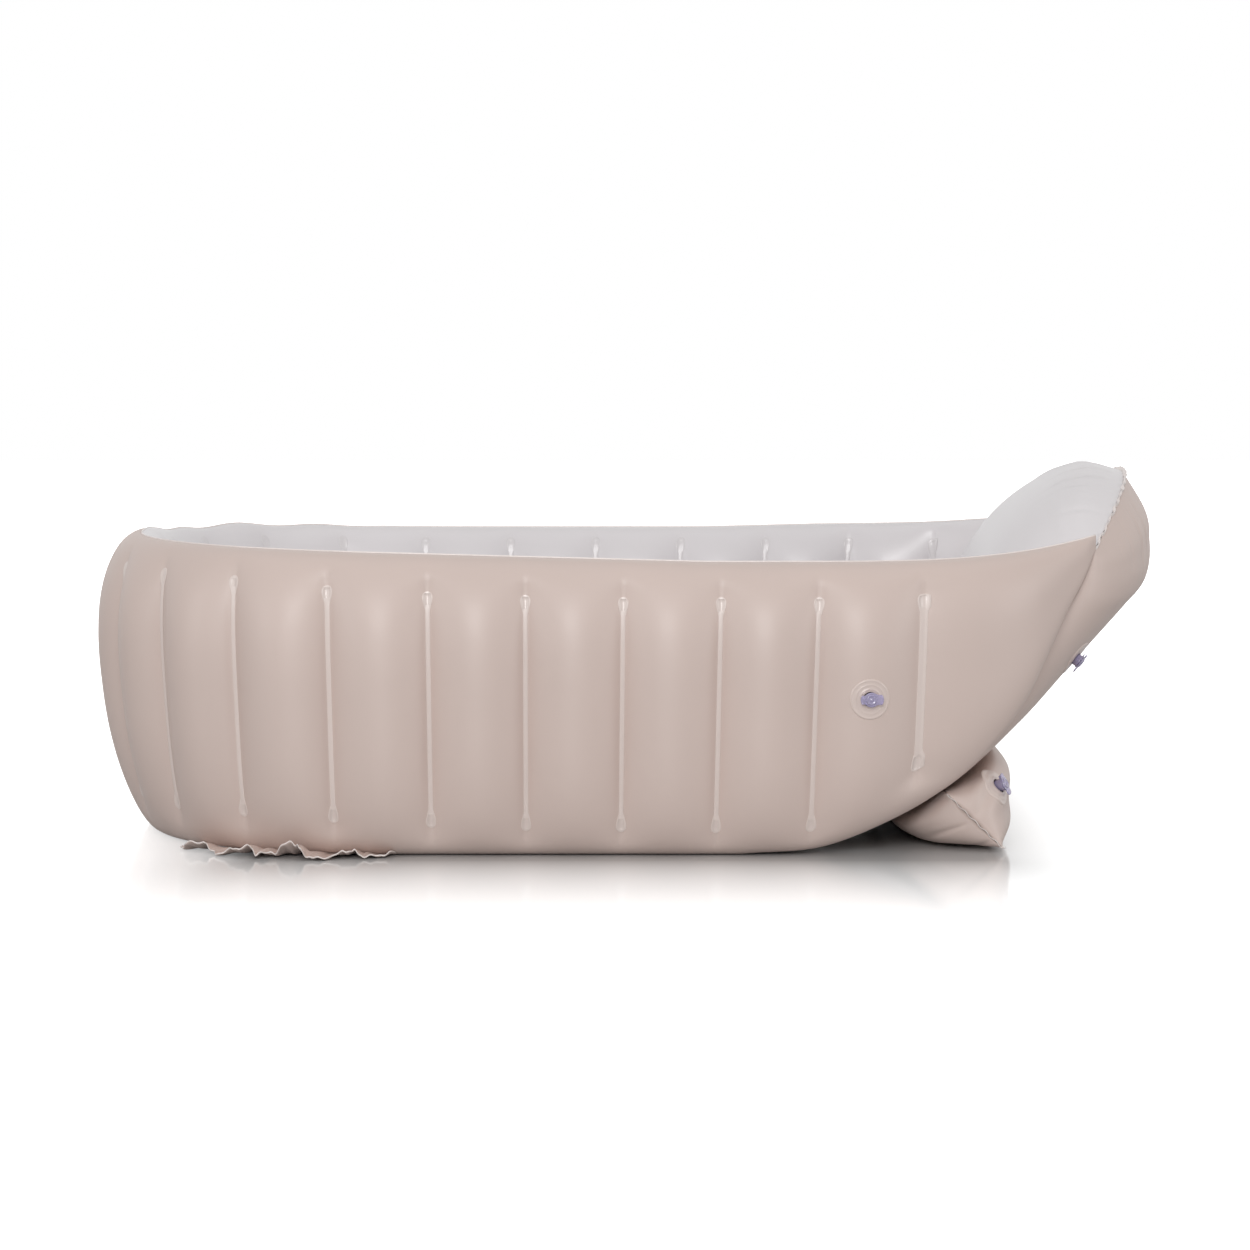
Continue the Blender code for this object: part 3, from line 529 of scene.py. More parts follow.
def baseHeight(x):
    lift = (x - wall["baseLiftStartX"]) / (wall["tipX"] - wall["baseLiftStartX"])
    return filmThickness + (wall["tipCrestZ"] - wall["endHeight"] - filmThickness) * smoothRise(baseLift, lift)


def wallColumns():
    # rib counts of the columns, close together beside each rib, then on to the tip
    ribs = wall["ribsEachSide"]
    middle = (np.arange(-ribs, ribs)[:, None] + eased(wall["columnsPerBay"])[None, :-1]).ravel()
    last = eased(wall["lastColumns"])
    return np.concatenate([-(ribs + last[:0:-1]), middle, ribs + last])


def stationsOf(counts, side):
    # the last bay, past the last rib, is stretched out to the tip
    ribs = wall["ribsEachSide"]
    lastRib = ribStation(ribs, side)
    beyond = np.clip(np.abs(counts) - ribs, 0.0, None)
    inside = ribStation(np.clip(counts, -ribs, ribs), side)
    return inside + np.sign(counts) * beyond * (tipStation - lastRib)


def wallRows(count):
    # shares of the height, spaced evenly along the film's own section
    turn = np.linspace(0.0, math.pi, 4000)
    power = 2 / wall["topSquareness"]
    share = 0.5 - 0.5 * np.sign(np.cos(turn)) * np.abs(np.cos(turn)) ** power
    reach = wall["sectionReach"] * np.sin(turn) ** power
    along = np.concatenate([[0.0], np.cumsum(np.hypot(np.diff(share * wall["crestZ"]), np.diff(reach)))])
    return np.interp(np.linspace(0.0, along[-1], count), along, share)


def weldSpan(side, counts):
    steps = np.arange(wall["ribsEachSide"] + 2)
    tops = np.interp(np.abs(counts), steps, side["weldTops"])
    return np.interp(np.abs(counts), steps, side["weldFeet"]), tops


def wallArch(shares, footShare):
    # the section: a superellipse, squarer on the straight than round the foot
    top = wall["topSquareness"] + (wall["footTopSquareness"] - wall["topSquareness"]) * footShare
    base = wall["baseSquareness"] + (wall["footBaseSquareness"] - wall["baseSquareness"]) * footShare
    power = np.where(shares > 0.5, top, base)
    return (1 - np.abs(2 * shares - 1) ** power) ** (1 / power)


def sectionReach(side, arch, swell, tall):
    return side["depth"] * tall ** side["depthPower"] * arch + side["bulge"] * swell * tall ** wall["bulgePower"]


def fanned(x, share, tall):
    # the base is drawn in along the bath, less and less up to the crest
    fan = 1 - wall["fan"] * (1 - share) * np.clip(1 - 2 * (1 - np.minimum(tall, 1.0)), 0.0, 1.0)
    return wall["fanCentreX"] + (x - wall["fanCentreX"]) * fan


def seamSection(station, share):
    # the seam line, the height, the height over the straight's, the arch and the foot's lean
    x, y, normalX, normalY = seamPlan(station)
    low = baseHeight(x)
    high = crestHeight(x, station)
    footShare = np.clip(-normalX, 0.0, 1.0)
    lean = 1 - wall["footLean"] * footShare * (1 - share)
    tall = (high - low) / wall["crestZ"]
    return x, y, normalX, normalY, low + (high - low) * share, tall, wallArch(share, footShare), lean


def wallSurface(side, counts, shares, extra=0.0):
    # A superellipse section stands on the seam line. Between two ribs the film
    # swells by the 0.8 power of a sine, and past a weld's ends the valley dies away.
    # Small ripples run beside the ribs.
    station = stationsOf(counts, side)
    x, y, normalX, normalY, height, tall, arch, lean = seamSection(station, shares)
    ribs = wall["ribsEachSide"]
    beyond = np.abs(counts) > ribs
    bayLength = np.where(beyond, tipStation - ribStation(ribs, side), wall["ribPitch"])
    bay = np.abs(counts) - np.floor(np.abs(counts))
    bay = np.where(np.abs(counts) >= ribs + 1, 1.0, bay)
    flat = strip["halfWidth"] / bayLength
    inside = np.clip((bay - flat) / (1 - 2 * flat), 0.0, 1.0)
    valley = np.abs(np.sin(math.pi * inside)) ** wall["valleyPower"]
    foot, top = weldSpan(side, counts)
    past = np.maximum(height - top, foot - height) / strip["fade"]
    held = 1 - strip["fadeShare"] * smoothStep(0.0, 1.0, past)
    held = np.where(beyond & (bay > 0.5), 1.0, held)
    swell = (1 - held * (1 - valley)) * arch**3
    fromRib = np.minimum(bay, 1 - bay) * bayLength
    rib = np.round(counts)
    ripple = np.sin(2 * math.pi * height / strip["rippleLength"] + 2.4 * rib)
    ripple = ripple * np.exp(-fromRib / strip["rippleReach"]) * smoothStep(*strip["rippleStart"], fromRib)
    ripple = ripple * (0.6 + 0.4 * np.sin(5.1 * rib + 40 * height)) * arch**3
    reach = sectionReach(side, arch, swell, tall) + strip["rippleDepth"] * ripple
    toTip = ribs + 1 - np.abs(counts)
    reach = reach * np.sqrt(np.clip(toTip / wall["tipRounding"], 0.0, 1.0))
    reach = side["outward"] * (reach * lean + halfSeamGap + extra)
    return np.stack([fanned(x, shares, tall) + normalX * reach, y + normalY * reach, height], axis=-1)


def wallFilm(name, side, material, flipped, node, holes=()):
    share, count = np.meshgrid(wallRows(wall["rows"]), wallColumns(), indexing="ij")
    points = wallSurface(side, count, share)
    piece = filmPiece(name, points, material, flipped, holes)
    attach(piece, "root")
    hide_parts(node)
    return piece, points


def wallWebs(name, material):
    # the panels inside that tie the two films together, one at every rib
    up = np.linspace(*wall["webHeight"], 26)
    shares, between = np.meshgrid(up, np.linspace(*wall["webDepth"], 7), indexing="ij")
    shells = []
    for rib in range(-wall["ribsEachSide"], wall["ribsEachSide"] + 1):
        counts = np.full(shares.shape, float(rib))
        outer = wallSurface(outerSide, counts, shares)
        inner = wallSurface(innerSide, counts, shares)
        shells.append((outer + (inner - outer) * between[..., None], gridFaces(*shares.shape).tolist()))
    piece = shellPiece(name, shells, material)
    thickenFilm(piece)
    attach(piece, "root")
    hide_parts(*[nodeName for nodeName in frame["nodes"] if nodeName.startswith("wall_web")])


def stripOutline(fromEnd):
    # half the strip's width at a distance from its nearer end: a round head, then
    # a flare that narrows to the strip
    head = strip["headHalfWidth"]
    body = strip["halfWidth"]
    flare = body + (head - body) * (1 - smoothStep(head * 1.2, strip["flareLength"], fromEnd))
    roundHead = np.sqrt(np.clip(head**2 - (fromEnd - head) ** 2, 0.0, None))
    return np.where(fromEnd < head, roundHead, flare)


def weldStrips(name, side, material):
    # one embossed strip on each rib: flat on top, rounded at its edges, with a
    # small dimple in the middle of each round head
    shells = []
    across = np.concatenate([[-1.0], np.sin(np.linspace(-0.5, 0.5, 11) * math.pi), [1.0]])
    proudShare = np.concatenate([[-1.0], np.sqrt(1 - np.abs(across[1:-1]) ** 4), [-1.0]])
    ends = eased(29)
    fineLength = strip["flareLength"] * 1.3
    lastRib = wall["ribsEachSide"]
    for rib in range(-lastRib, lastRib + 1):
        foot, top = weldSpan(side, np.array(float(rib)))
        near = foot + fineLength * ends**1.5
        far = top - fineLength * ends[::-1] ** 1.5
        height = np.concatenate([near, np.linspace(near[-1], far[0], 42)[1:-1], far])
        fromEnd = np.minimum(height - foot, top - height)
        half = np.maximum(stripOutline(fromEnd), 0.00002)
        station = ribStation(rib, side)
        x = seamPlan(station)[0]
        low = baseHeight(x)
        share = (height - low) / (crestHeight(x, station) - low)
        if abs(rib) == lastRib:
            share = np.clip(share, 0.002, 0.998)
        shares, offsets = np.meshgrid(share, across, indexing="ij")
        counts = rib + offsets * half[:, None] / wall["ribPitch"]
        counts = np.clip(counts, -lastRib - strip["pastLastRib"], lastRib + strip["pastLastRib"])
        fromHead = np.hypot(fromEnd[:, None] - strip["headHalfWidth"], offsets * half[:, None])
        dot = np.exp(-((fromHead / strip["dotRadius"]) ** 2))
        lift = strip["proud"] * (proudShare - strip["dotShare"] * dot) + filmThickness / 2
        points = wallSurface(side, counts, shares, lift)
        shells.append((points, tubeFaces(*points.shape[:2])))
    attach(shellPiece(name, shells, material), "root")


def seamRibbon(name, atCrest, proud, thickness):
    # the welded edge along the crest or the base of the wall
    stations = np.linspace(-tipStation, tipStation, 760)
    x, y, normalX, normalY = seamPlan(stations)
    low = baseHeight(x)
    height = high = crestHeight(x, stations)
    if not atCrest:
        x = fanned(x, 0.0, (high - low) / wall["crestZ"])
        height = low + proud / 2
    line = np.stack([x, y, height], axis=-1)
    out = np.stack([normalX, normalY, np.zeros_like(x)], axis=-1)
    up = unit(np.cross(out, unit(np.gradient(line, axis=0))))
    up = up * np.sign(up[:, 2:3] + 1e-9)
    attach(ribbonPiece(name, line, up, out, proud, thickness, creamWeld), "root")


wallHole = (valvePlace("wall_valve"), valve["holeRadius"])
wallOuter, wallOuterPoints = wallFilm("wallOuterFilm", outerSide, beigeVinyl, True, "wall_outer_skin", [wallHole])
wallFilm("wallInnerFilm", innerSide, whiteVinyl, False, "wall_inner_skin")
wallWebs("wallWebs", whiteVinyl)
weldStrips("wallOuterWelds", outerSide, beigeWeldSheen)
weldStrips("wallInnerWelds", innerSide, whiteWeld)
seamRibbon("rimWeld", True, 0.0026, 0.0012)
seamRibbon("baseWeld", False, 0.0030, 0.0010)
print("wall chamber made")


# Floor mat

mat = {
    "headX": 0.18331,
    "height": 0.0340,
    "channels": 10,
    "swellPower": 0.6,
    "flatFrom": 0.41,
    "columnsPerChannel": 18,
    "rows": 64,
    "endPower": 16.0,
    "weldWidth": 0.0050,
    "puckerDepth": 0.0016,
    "puckerLength": 0.0170,
    "clearance": 0.0008,
    "drainHoleRadius": 0.0128,
}


def countsOf(station, side):
    # the rib count, with its fraction, at each station
    counts = np.linspace(-wall["ribsEachSide"] - 1, wall["ribsEachSide"] + 1, 2401)
    return np.interp(station, stationsOf(counts, side), counts)


def matOutline():
    # the innermost line of the wall's inner film at the height of the mat's seam
    station = np.linspace(0.0, tipStation * 0.9, 600)
    x, y = seamInset(station, np.full_like(station, mat["height"] / 2 / wall["crestZ"]))
    return x + mat["clearance"], y - mat["clearance"]


def seamInset(station, share):
    # the inner film between two ribs, where it swells the furthest, at any station
    x, y, normalX, normalY, _, tall, arch, lean = seamSection(station, share)
    reach = -(sectionReach(innerSide, arch, arch**3, tall) * lean + halfSeamGap)
    return fanned(x, share, tall) + normalX * reach, y + normalY * reach


def matGrid():
    # columns close together at the welds, rows close together at the ends
    edgeX, edgeY = matOutline()
    startX = edgeX[0] + mat["height"] / 6
    pitch = (mat["headX"] - startX) / mat["channels"]
    step = eased(mat["columnsPerChannel"])[:-1]
    channel = (np.arange(mat["channels"])[:, None] + step[None, :]).ravel()
    channel = np.append(channel, mat["channels"])
    row = np.sin(np.linspace(-0.5, 0.5, mat["rows"]) * math.pi)
    rows, channels = np.meshgrid(row, channel, indexing="ij")
    x = startX + channels * pitch
    return x, rows * np.interp(x, edgeX, edgeY), rows, channels


def matSurface(upward):
    # Tubes side by side: the 0.6 power of a sine from weld to weld, flat where it
    # rests, closing with rounded, puckered ends.
    x, y, rows, channels = matGrid()
    share = channels - np.floor(channels)
    swell = np.abs(np.sin(math.pi * share)) ** mat["swellPower"]
    swell = np.minimum(swell / math.sin(math.pi * mat["flatFrom"]) ** mat["swellPower"], 1.0)
    swell = np.where(channels == mat["channels"], 0.0, swell)
    ends = np.sqrt(np.clip(1 - np.abs(rows) ** mat["endPower"], 0.0, 1.0))
    fromEnd = (1 - np.abs(rows)) * np.abs(y / np.where(rows == 0, 1.0, rows))
    fade = np.exp(-fromEnd / mat["puckerLength"])
    crumple = np.sin(2 * math.pi * channels * 5 + 1.7 * np.sign(rows)) * fade
    middle = mat["height"] / 2
    rise = (middle - filmThickness / 2 - halfSeamGap) * swell * ends
    rise = rise - mat["puckerDepth"] * (0.5 + 0.5 * crumple) * fade * swell * ends
    return np.stack([x, y, middle + upward * (halfSeamGap + rise)], axis=-1)


def matWelds(name, material):
    # the bands between channels, where both films are welded
    x, y, _, _ = matGrid()
    width = mat["weldWidth"]
    for number in range(1, mat["channels"]):
        column = number * mat["columnsPerChannel"]
        line = np.stack([x[:, column], y[:, column], np.full(len(x), mat["height"] / 2)], axis=-1)
        band = (line, (1.0, 0.0, 0.0), (0.0, 0.0, 1.0), width, width * 0.28)
        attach(ribbonPiece(f"{name}{number}", *band, material), "root")


def drainPlace():
    points = nodePoints("drain_seat")
    middle = (points.min(axis=0) + points.max(axis=0)) / 2
    return Matrix.Translation((middle[0], middle[1], mat["height"] / 2))


matTopPoints = matSurface(1.0)
drainHole = (drainPlace(), mat["drainHoleRadius"])
floorHole = (valvePlace("floor_valve"), valve["holeRadius"])
matTop = filmPiece("matTopFilm", matTopPoints, whiteVinyl, holes=[floorHole, drainHole])
matBottom = filmPiece("matBottomFilm", matSurface(-1.0), beigeVinyl, flipped=True, holes=[drainHole])
for piece, nodeName in ((matTop, "floor_top_skin"), (matBottom, "floor_bottom_skin")):
    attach(piece, "root")
    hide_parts(nodeName)
matWelds("matWeld", whiteWeld)
print("floor mat made")


# Head cushion

cushion = {
    "startGap": 0.0010,
    "runPower": 0.85,
    "archPower": 2.2,
    "topRise": 0.0620,
    "topReach": 0.0440,
    "frontDepth": 0.0770,
    "backDepth": 0.0750,
    "slopeDegrees": 50.0,
    "sideRise": 0.0080,
    "frontSidePower": 3.6,
    "backSidePower": 2.4,
    "columns": 220,
    "rows": 110,
    "pleatPitch": 0.0125,
    "pleatDepth": 0.20,
    "pleatLength": 0.0080,
    "flangeWidth": 0.0080,
    "flangeWave": 0.0008,
    "sideWeldWidth": 0.0060,
    "creaseAcross": 0.80,
    "creaseHalfWidth": 0.030,
    "creaseDepth": 0.0030,
    "creaseFoot": (0.20, 0.35),
    "creaseTop": (0.60, 0.80),
    "pleatHalfWidth": 0.17,
    "backLength": 0.30,
}
cushionFrontTable = (
    (0.000, 0.00), (0.050, 0.32), (0.160, 0.60), (0.400, 0.92), (0.650, 1.00), (0.750, 1.00),
    (0.830, 0.95), (0.910, 0.78), (0.950, 0.62), (0.985, 0.30), (1.000, 0.00),
)
cushionBackTable = (
    (0.000, 0.00), (0.300, 0.05), (0.480, 0.17), (0.580, 0.31), (0.640, 0.43), (0.750, 0.65),
    (0.860, 0.84), (0.910, 0.87), (0.950, 0.70), (0.985, 0.37), (1.000, 0.00),
)


def cushionSide(share):
    # the cushion's side seam follows the wall's base seam up to its tip
    start = mat["headX"] + cushion["startGap"]
    x = start + (wall["tipX"] - start) * share ** cushion["runPower"]
    station = quarterLength + x - wall["footBendX"]
    low = baseHeight(x)
    seamZ = np.maximum(low, mat["height"] / 2)
    rise = cushion["sideRise"]
    above = (seamZ - low + rise) / (crestHeight(x) - low + rise)
    line = wallSurface(innerSide, countsOf(station, innerSide), above)
    return x, line[..., 1] - 0.0003, seamZ


def cushionMiddle(across, share):
    x, half, z = cushionSide(share)
    arch = (1 - np.abs(across) ** cushion["archPower"]) * share**3
    return np.stack([x + cushion["topReach"] * arch, across * half, z + cushion["topRise"] * arch], axis=-1)


slope = math.radians(cushion["slopeDegrees"])
cushionAway = np.array([math.sin(slope), 0.0, -math.cos(slope)])


def cushionSurface(across, share, outward, depth, table, sidePower, pleated=True):
    # A pillow: each film stands off the middle sheet by a drawn profile that
    # closes at the sides. Pleats pinch it in beside the top seam.
    middle = cushionMiddle(across, share)
    side = np.clip(1 - np.abs(across) ** sidePower, 0.0, 1.0) ** 0.5
    deep = depth * smoothRise(table, share) * side
    if pleated:
        along = middle[..., 1] / cushion["pleatPitch"]
        along = along + 0.35 * np.sin(along * 0.83) + 0.2 * np.sin(along * 0.31 + outward)
        pinch = np.exp(-(((along - np.round(along)) / cushion["pleatHalfWidth"]) ** 2))
        size = 0.65 + 0.35 * np.sin(2.7 * np.round(along) + outward)
        fromSeam = (1 - share) * cushion["backLength"]
        deep = deep * (1 - cushion["pleatDepth"] * pinch * size * np.exp(-fromSeam / (cushion["pleatLength"] * size)))
    return middle + outward * (deep + halfSeamGap)[..., None] * cushionAway


def cushionFront(across, share):
    # one shallow crease runs down the far side of the front
    crease = np.exp(-(((across - cushion["creaseAcross"]) / cushion["creaseHalfWidth"]) ** 2))
    crease = crease * smoothStep(*cushion["creaseFoot"], share) * (1 - smoothStep(*cushion["creaseTop"], share))
    depth = cushion["frontDepth"] - cushion["creaseDepth"] * crease
    return cushionSurface(across, share, -1.0, depth, cushionFrontTable, cushion["frontSidePower"])


def cushionBack(across, share, pleated=True):
    depth = cushion["backDepth"]
    return cushionSurface(across, share, 1.0, depth, cushionBackTable, cushion["backSidePower"], pleated)


def cushionGrid():
    turn = np.linspace(-1.0, 1.0, cushion["columns"] + 1)
    across = 0.75 * np.sin(turn * math.pi / 2) + 0.25 * turn
    share = 1 - (1 - np.linspace(0.0, 1.0, cushion["rows"] + 1)) ** 1.5
    return np.meshgrid(across, share, indexing="xy")


def cushionFlange(name, material):
    # the wavy welded edge over the top of the pillow
    turn = np.linspace(-1.0, 1.0, 401)
    line = cushionMiddle(turn, np.ones_like(turn))
    up = unit(line - cushionMiddle(turn, np.full_like(turn, 0.985)))
    wave = np.sin(2 * math.pi * line[:, 1] / (cushion["pleatPitch"] * 1.1)) + 0.6 * np.sin(line[:, 1] * 310)
    line = line + cushionAway * (cushion["flangeWave"] * wave)[:, None]
    width = cushion["flangeWidth"]
    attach(ribbonPiece(name, line, up, cushionAway, width, width * 0.14, material), "root")


def cushionSideWelds(name, material):
    # the welded edge down each side of the pillow, standing up along the wall
    share = np.linspace(0.10, 0.97, 120)
    width = cushion["sideWeldWidth"]
    shells = []
    for side in (-1.0, 1.0):
        line = cushionMiddle(np.full_like(share, side), share) - 0.35 * width * cushionAway
        line[:, 1] = line[:, 1] - side * 0.0008
        shells.append(ribbonShell(line, -cushionAway, (0.0, 1.0, 0.0), width, width * 0.14))
    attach(shellPiece(name, shells, material), "root")


cushionAcross, cushionShare = cushionGrid()
cushionBackPoints = cushionBack(cushionAcross, cushionShare)
cushionFrontFilm = filmPiece("cushionFrontFilm", cushionFront(cushionAcross, cushionShare), whiteVinyl)
cushionHole = (valvePlace("cushion_valve"), valve["holeRadius"])
cushionBackFilm = filmPiece("cushionBackFilm", cushionBackPoints, beigeVinyl, flipped=True, holes=[cushionHole])
for piece, nodeName in ((cushionFrontFilm, "cushion_front_skin"), (cushionBackFilm, "cushion_back_skin")):
    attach(piece, "root")
    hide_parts(nodeName)
cushionFlange("cushionWeld", creamWeld)
cushionSideWelds("cushionSideWelds", creamWeld)
print("head cushion made")


# Bolster

bolster = {
    "halfLength": 0.2620,
    "leftX": 0.23831,
    "width": 0.1070,
    "seamTopX": 0.28031,
    "seamFootX": 0.32931,
    "seamFootZ": 0.0040,
    "clearance": 0.0010,
    "crownShare": 0.80,
    "upperEndPower": 4.0,
    "lowerEndPower": 8.0,
    "rows": 60,
    "columns": 150,
    "pleatPitch": 0.0300,
    "pleatHalfWidth": 0.09,
    "pleatDepth": 0.30,
    "pleatLength": 0.0130,
    "flangeWidth": 0.0060,
}
bolsterLowerTable = ((0.17, 1.00), (0.00, 0.62), (0.14, 0.16), (0.32, 0.00), (0.70, 0.00))
bolsterUpperTable = ((0.66, 1.00), (0.88, 1.00), (1.00, 0.86), (1.00, 0.52), (1.00, 0.26))


def roomAboveBolster(x, y):
    # how high the cushion's back film or the wall's base seam is above X, Y
    share = np.linspace(0.0, 0.8, 160)
    half = cushionSide(share)[1]
    heights = [float(baseHeight(np.array(x)))]
    for back, inward in ((0.0, 0.0), (1.0, 0.0), (0.0, 1.0)):
        nearY = max(abs(y) - inward * bolster["halfLength"] * 0.06, 0.0)
        under = cushionBack(np.clip(nearY / half, 0.0, 1.0), share, pleated=False)
        heights.append(float(np.interp(x - back * bolster["clearance"], under[:, 0], under[:, 2])))
    return min(heights) - bolster["clearance"]


def throughPoints(line, count):
    # a smooth curve through the points of a polyline
    along = np.concatenate([[0.0], np.cumsum(np.linalg.norm(np.diff(line, axis=0), axis=1))])
    at = np.linspace(0.0, along[-1], count)
    return np.stack([smoothRise(list(zip(along, line[:, axis])), at) for axis in range(line.shape[1])], axis=-1)


def bolsterSection(y, table, shift, count):
    # one film's section at Y, from the upper seam to the seam by the ground
    line = [(bolster["seamTopX"], roomAboveBolster(bolster["seamTopX"], y))]
    for across, up in table:
        underX = bolster["leftX"] + bolster["width"] * min(across, bolster["crownShare"])
        height = max(up * roomAboveBolster(underX, y), filmThickness / 2)
        line.append((bolster["leftX"] + bolster["width"] * across, height))
    line.append((bolster["seamFootX"], bolster["seamFootZ"] + shift))
    curve = throughPoints(np.array(line), count)
    curve[:, 1] = np.maximum(curve[:, 1], filmThickness / 2)
    chord = np.linspace(line[0], (bolster["seamFootX"], bolster["seamFootZ"]), count)
    return curve, chord


def bolsterGrid(table, shift, endPower):
    # Sections along the bolster's length, closing at each end onto the chord
    # between its two seams, with pleats pinched in beside that end seam.
    turn = np.linspace(-1.0, 1.0, bolster["columns"] + 1)
    places = np.sign(turn) * (1 - (1 - np.abs(turn)) ** 1.6)
    known = np.linspace(-1.0, 1.0, 41)
    sections = [bolsterSection(y, table, shift, bolster["rows"]) for y in known * bolster["halfLength"]]
    curves = np.array([section[0] for section in sections])
    chords = np.array([section[1] for section in sections])
    i = np.clip(np.searchsorted(known, places, side="right") - 1, 0, len(known) - 2)
    t = ((places - known[i]) / (known[i + 1] - known[i]))[:, None, None]
    curve = curves[i] * (1 - t) + curves[i + 1] * t
    chord = chords[i] * (1 - t) + chords[i + 1] * t
    end = np.sqrt(np.clip(1 - np.abs(places) ** endPower, 0.0, 1.0))[:, None]
    length = np.linalg.norm(chord[0, -1] - chord[0, 0])
    along = np.linspace(0.0, length, bolster["rows"])[None, :] / bolster["pleatPitch"]
    along = along + 0.25 * np.sin(along * 1.3 + shift * 4000)
    pinch = np.exp(-(((along - np.round(along)) / bolster["pleatHalfWidth"]) ** 2))
    fromEnd = (1 - np.abs(places))[:, None] * bolster["halfLength"]
    end = end * (1 - bolster["pleatDepth"] * pinch * np.exp(-fromEnd / bolster["pleatLength"]))
    section = chord + (curve - chord) * end[..., None]
    y = np.broadcast_to((places * bolster["halfLength"])[:, None], section.shape[:2])
    points = np.stack([section[..., 0] + shift, y, section[..., 1]], axis=-1)
    return points.transpose(1, 0, 2)


def bolsterFlanges(name, material):
    # welded edges: a wavy one at each end, and one along the seam by the ground
    lower = bolsterGrid(bolsterLowerTable, 0.0, bolster["lowerEndPower"])
    width = bolster["flangeWidth"]
    for label, line, out in (
        ("NearEnd", lower[:, 0], (0.0, -1.0, 0.0)),
        ("FarEnd", lower[:, -1], (0.0, 1.0, 0.0)),
        ("Foot", lower[-1], (0.8, 0.0, -0.2)),
    ):
        across = unit(np.array(out))
        through = unit(np.cross(unit(np.gradient(line, axis=0)), across))
        wave = 0.0006 * np.sin(np.linspace(0.0, 34.0, len(line)))
        if label == "Foot":
            line = line + np.array([0.0, 0.0, 0.0005])
        else:
            line = line + through * wave[:, None]
        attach(ribbonPiece(name + label, line, across, through, width, width * 0.17, material), "root")


bolsterLowerPoints = bolsterGrid(bolsterLowerTable, -halfSeamGap, bolster["lowerEndPower"])
bolsterLower = filmPiece("bolsterLowerFilm", bolsterLowerPoints, beigeVinyl)
bolsterUpperPoints = bolsterGrid(bolsterUpperTable, halfSeamGap, bolster["upperEndPower"])
bolsterHole = (valvePlace("bolster_valve"), valve["holeRadius"])
bolsterUpper = filmPiece("bolsterUpperFilm", bolsterUpperPoints, beigeVinyl, flipped=True, holes=[bolsterHole])
for piece, nodeName in ((bolsterLower, "bolster_lower_skin"), (bolsterUpper, "bolster_upper_skin")):
    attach(piece, "root")
    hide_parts(nodeName)
bolsterFlanges("bolsterWeld", creamWeld)
print("bolster made")


# Loose skirt of film on the floor, along the near side of the foot

skirt = {
    "firstShare": 0.56,
    "lastShare": 1.00,
    "reach": 0.0600,
    "endShare": 0.25,
    "fullness": 0.4,
    "crumple": 0.0125,
    "folds": ((1.0, 4.6, 0.45, 0.8), (0.34, 13.7, -0.55, 2.1), (0.16, 29.3, 0.8, 0.0)),
    "edgeWidth": 0.0012,
    "columns": 300,
    "rows": 30,
    "flat": (0.205, 0.051),
}


def skirtSurface():
    # It starts at the wall's base seam. Waves of several lengths lift it and push it
    # along more and more towards its free edge, which flutters in and out.
    run, out = np.meshgrid(np.linspace(0, 1, skirt["columns"]), np.linspace(0, 1, skirt["rows"]), indexing="xy")
    along = run + 0.012 * np.sin(2 * math.pi * (5 * run + 0.4 * out)) * out
    share = skirt["firstShare"] + (skirt["lastShare"] - skirt["firstShare"]) * along
    x, y, normalX, normalY = seamPlan(-share * quarterLength)
    full = np.sin(math.pi * np.clip(run, 0.002, 0.998)) ** skirt["fullness"]
    reach = skirt["endShare"] + (1 - skirt["endShare"]) * full
    reach = reach * (0.90 + 0.10 * np.sin(2 * math.pi * 3.3 * run + 0.6) + 0.05 * np.sin(2 * math.pi * 11.7 * run))
    reach = 0.001 + skirt["reach"] * reach * out
    fold = sum(
        size * (0.5 + 0.5 * np.sin(2 * math.pi * (waves * run + slant * out) + start))
        for size, waves, slant, start in skirt["folds"]
    )
    lift = skirt["crumple"] * fold * np.minimum(out, 0.6 + 0.4 * out) ** 1.2 * full
    lift = lift * (0.75 + 0.25 * np.sin(2 * math.pi * 2.1 * run + 1.0))
    return np.stack([x + normalX * reach, y + normalY * reach, filmThickness / 2 + lift], axis=-1)


def skirtEdge(name, edge, material):
    # the pale cut edge, a thin thread of film along the skirt's free side
    width = skirt["edgeWidth"]
    up = np.array([0.0, 0.0, 1.0])
    line = edge + up * width / 2
    through = unit(np.cross(unit(np.gradient(line, axis=0)), up))
    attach(ribbonPiece(name, line, up, through, width, width * 0.6, material), "root")


skirtPoints = skirtSurface()
skirtFilm = filmPiece("skirtFilm", skirtPoints, beigeVinyl)
skirtEdge("skirtEdge", skirtPoints[-1], creamWeld)
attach(skirtFilm, "root")
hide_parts("bottom_skirt")
print("skirt made")


# Valve pieces


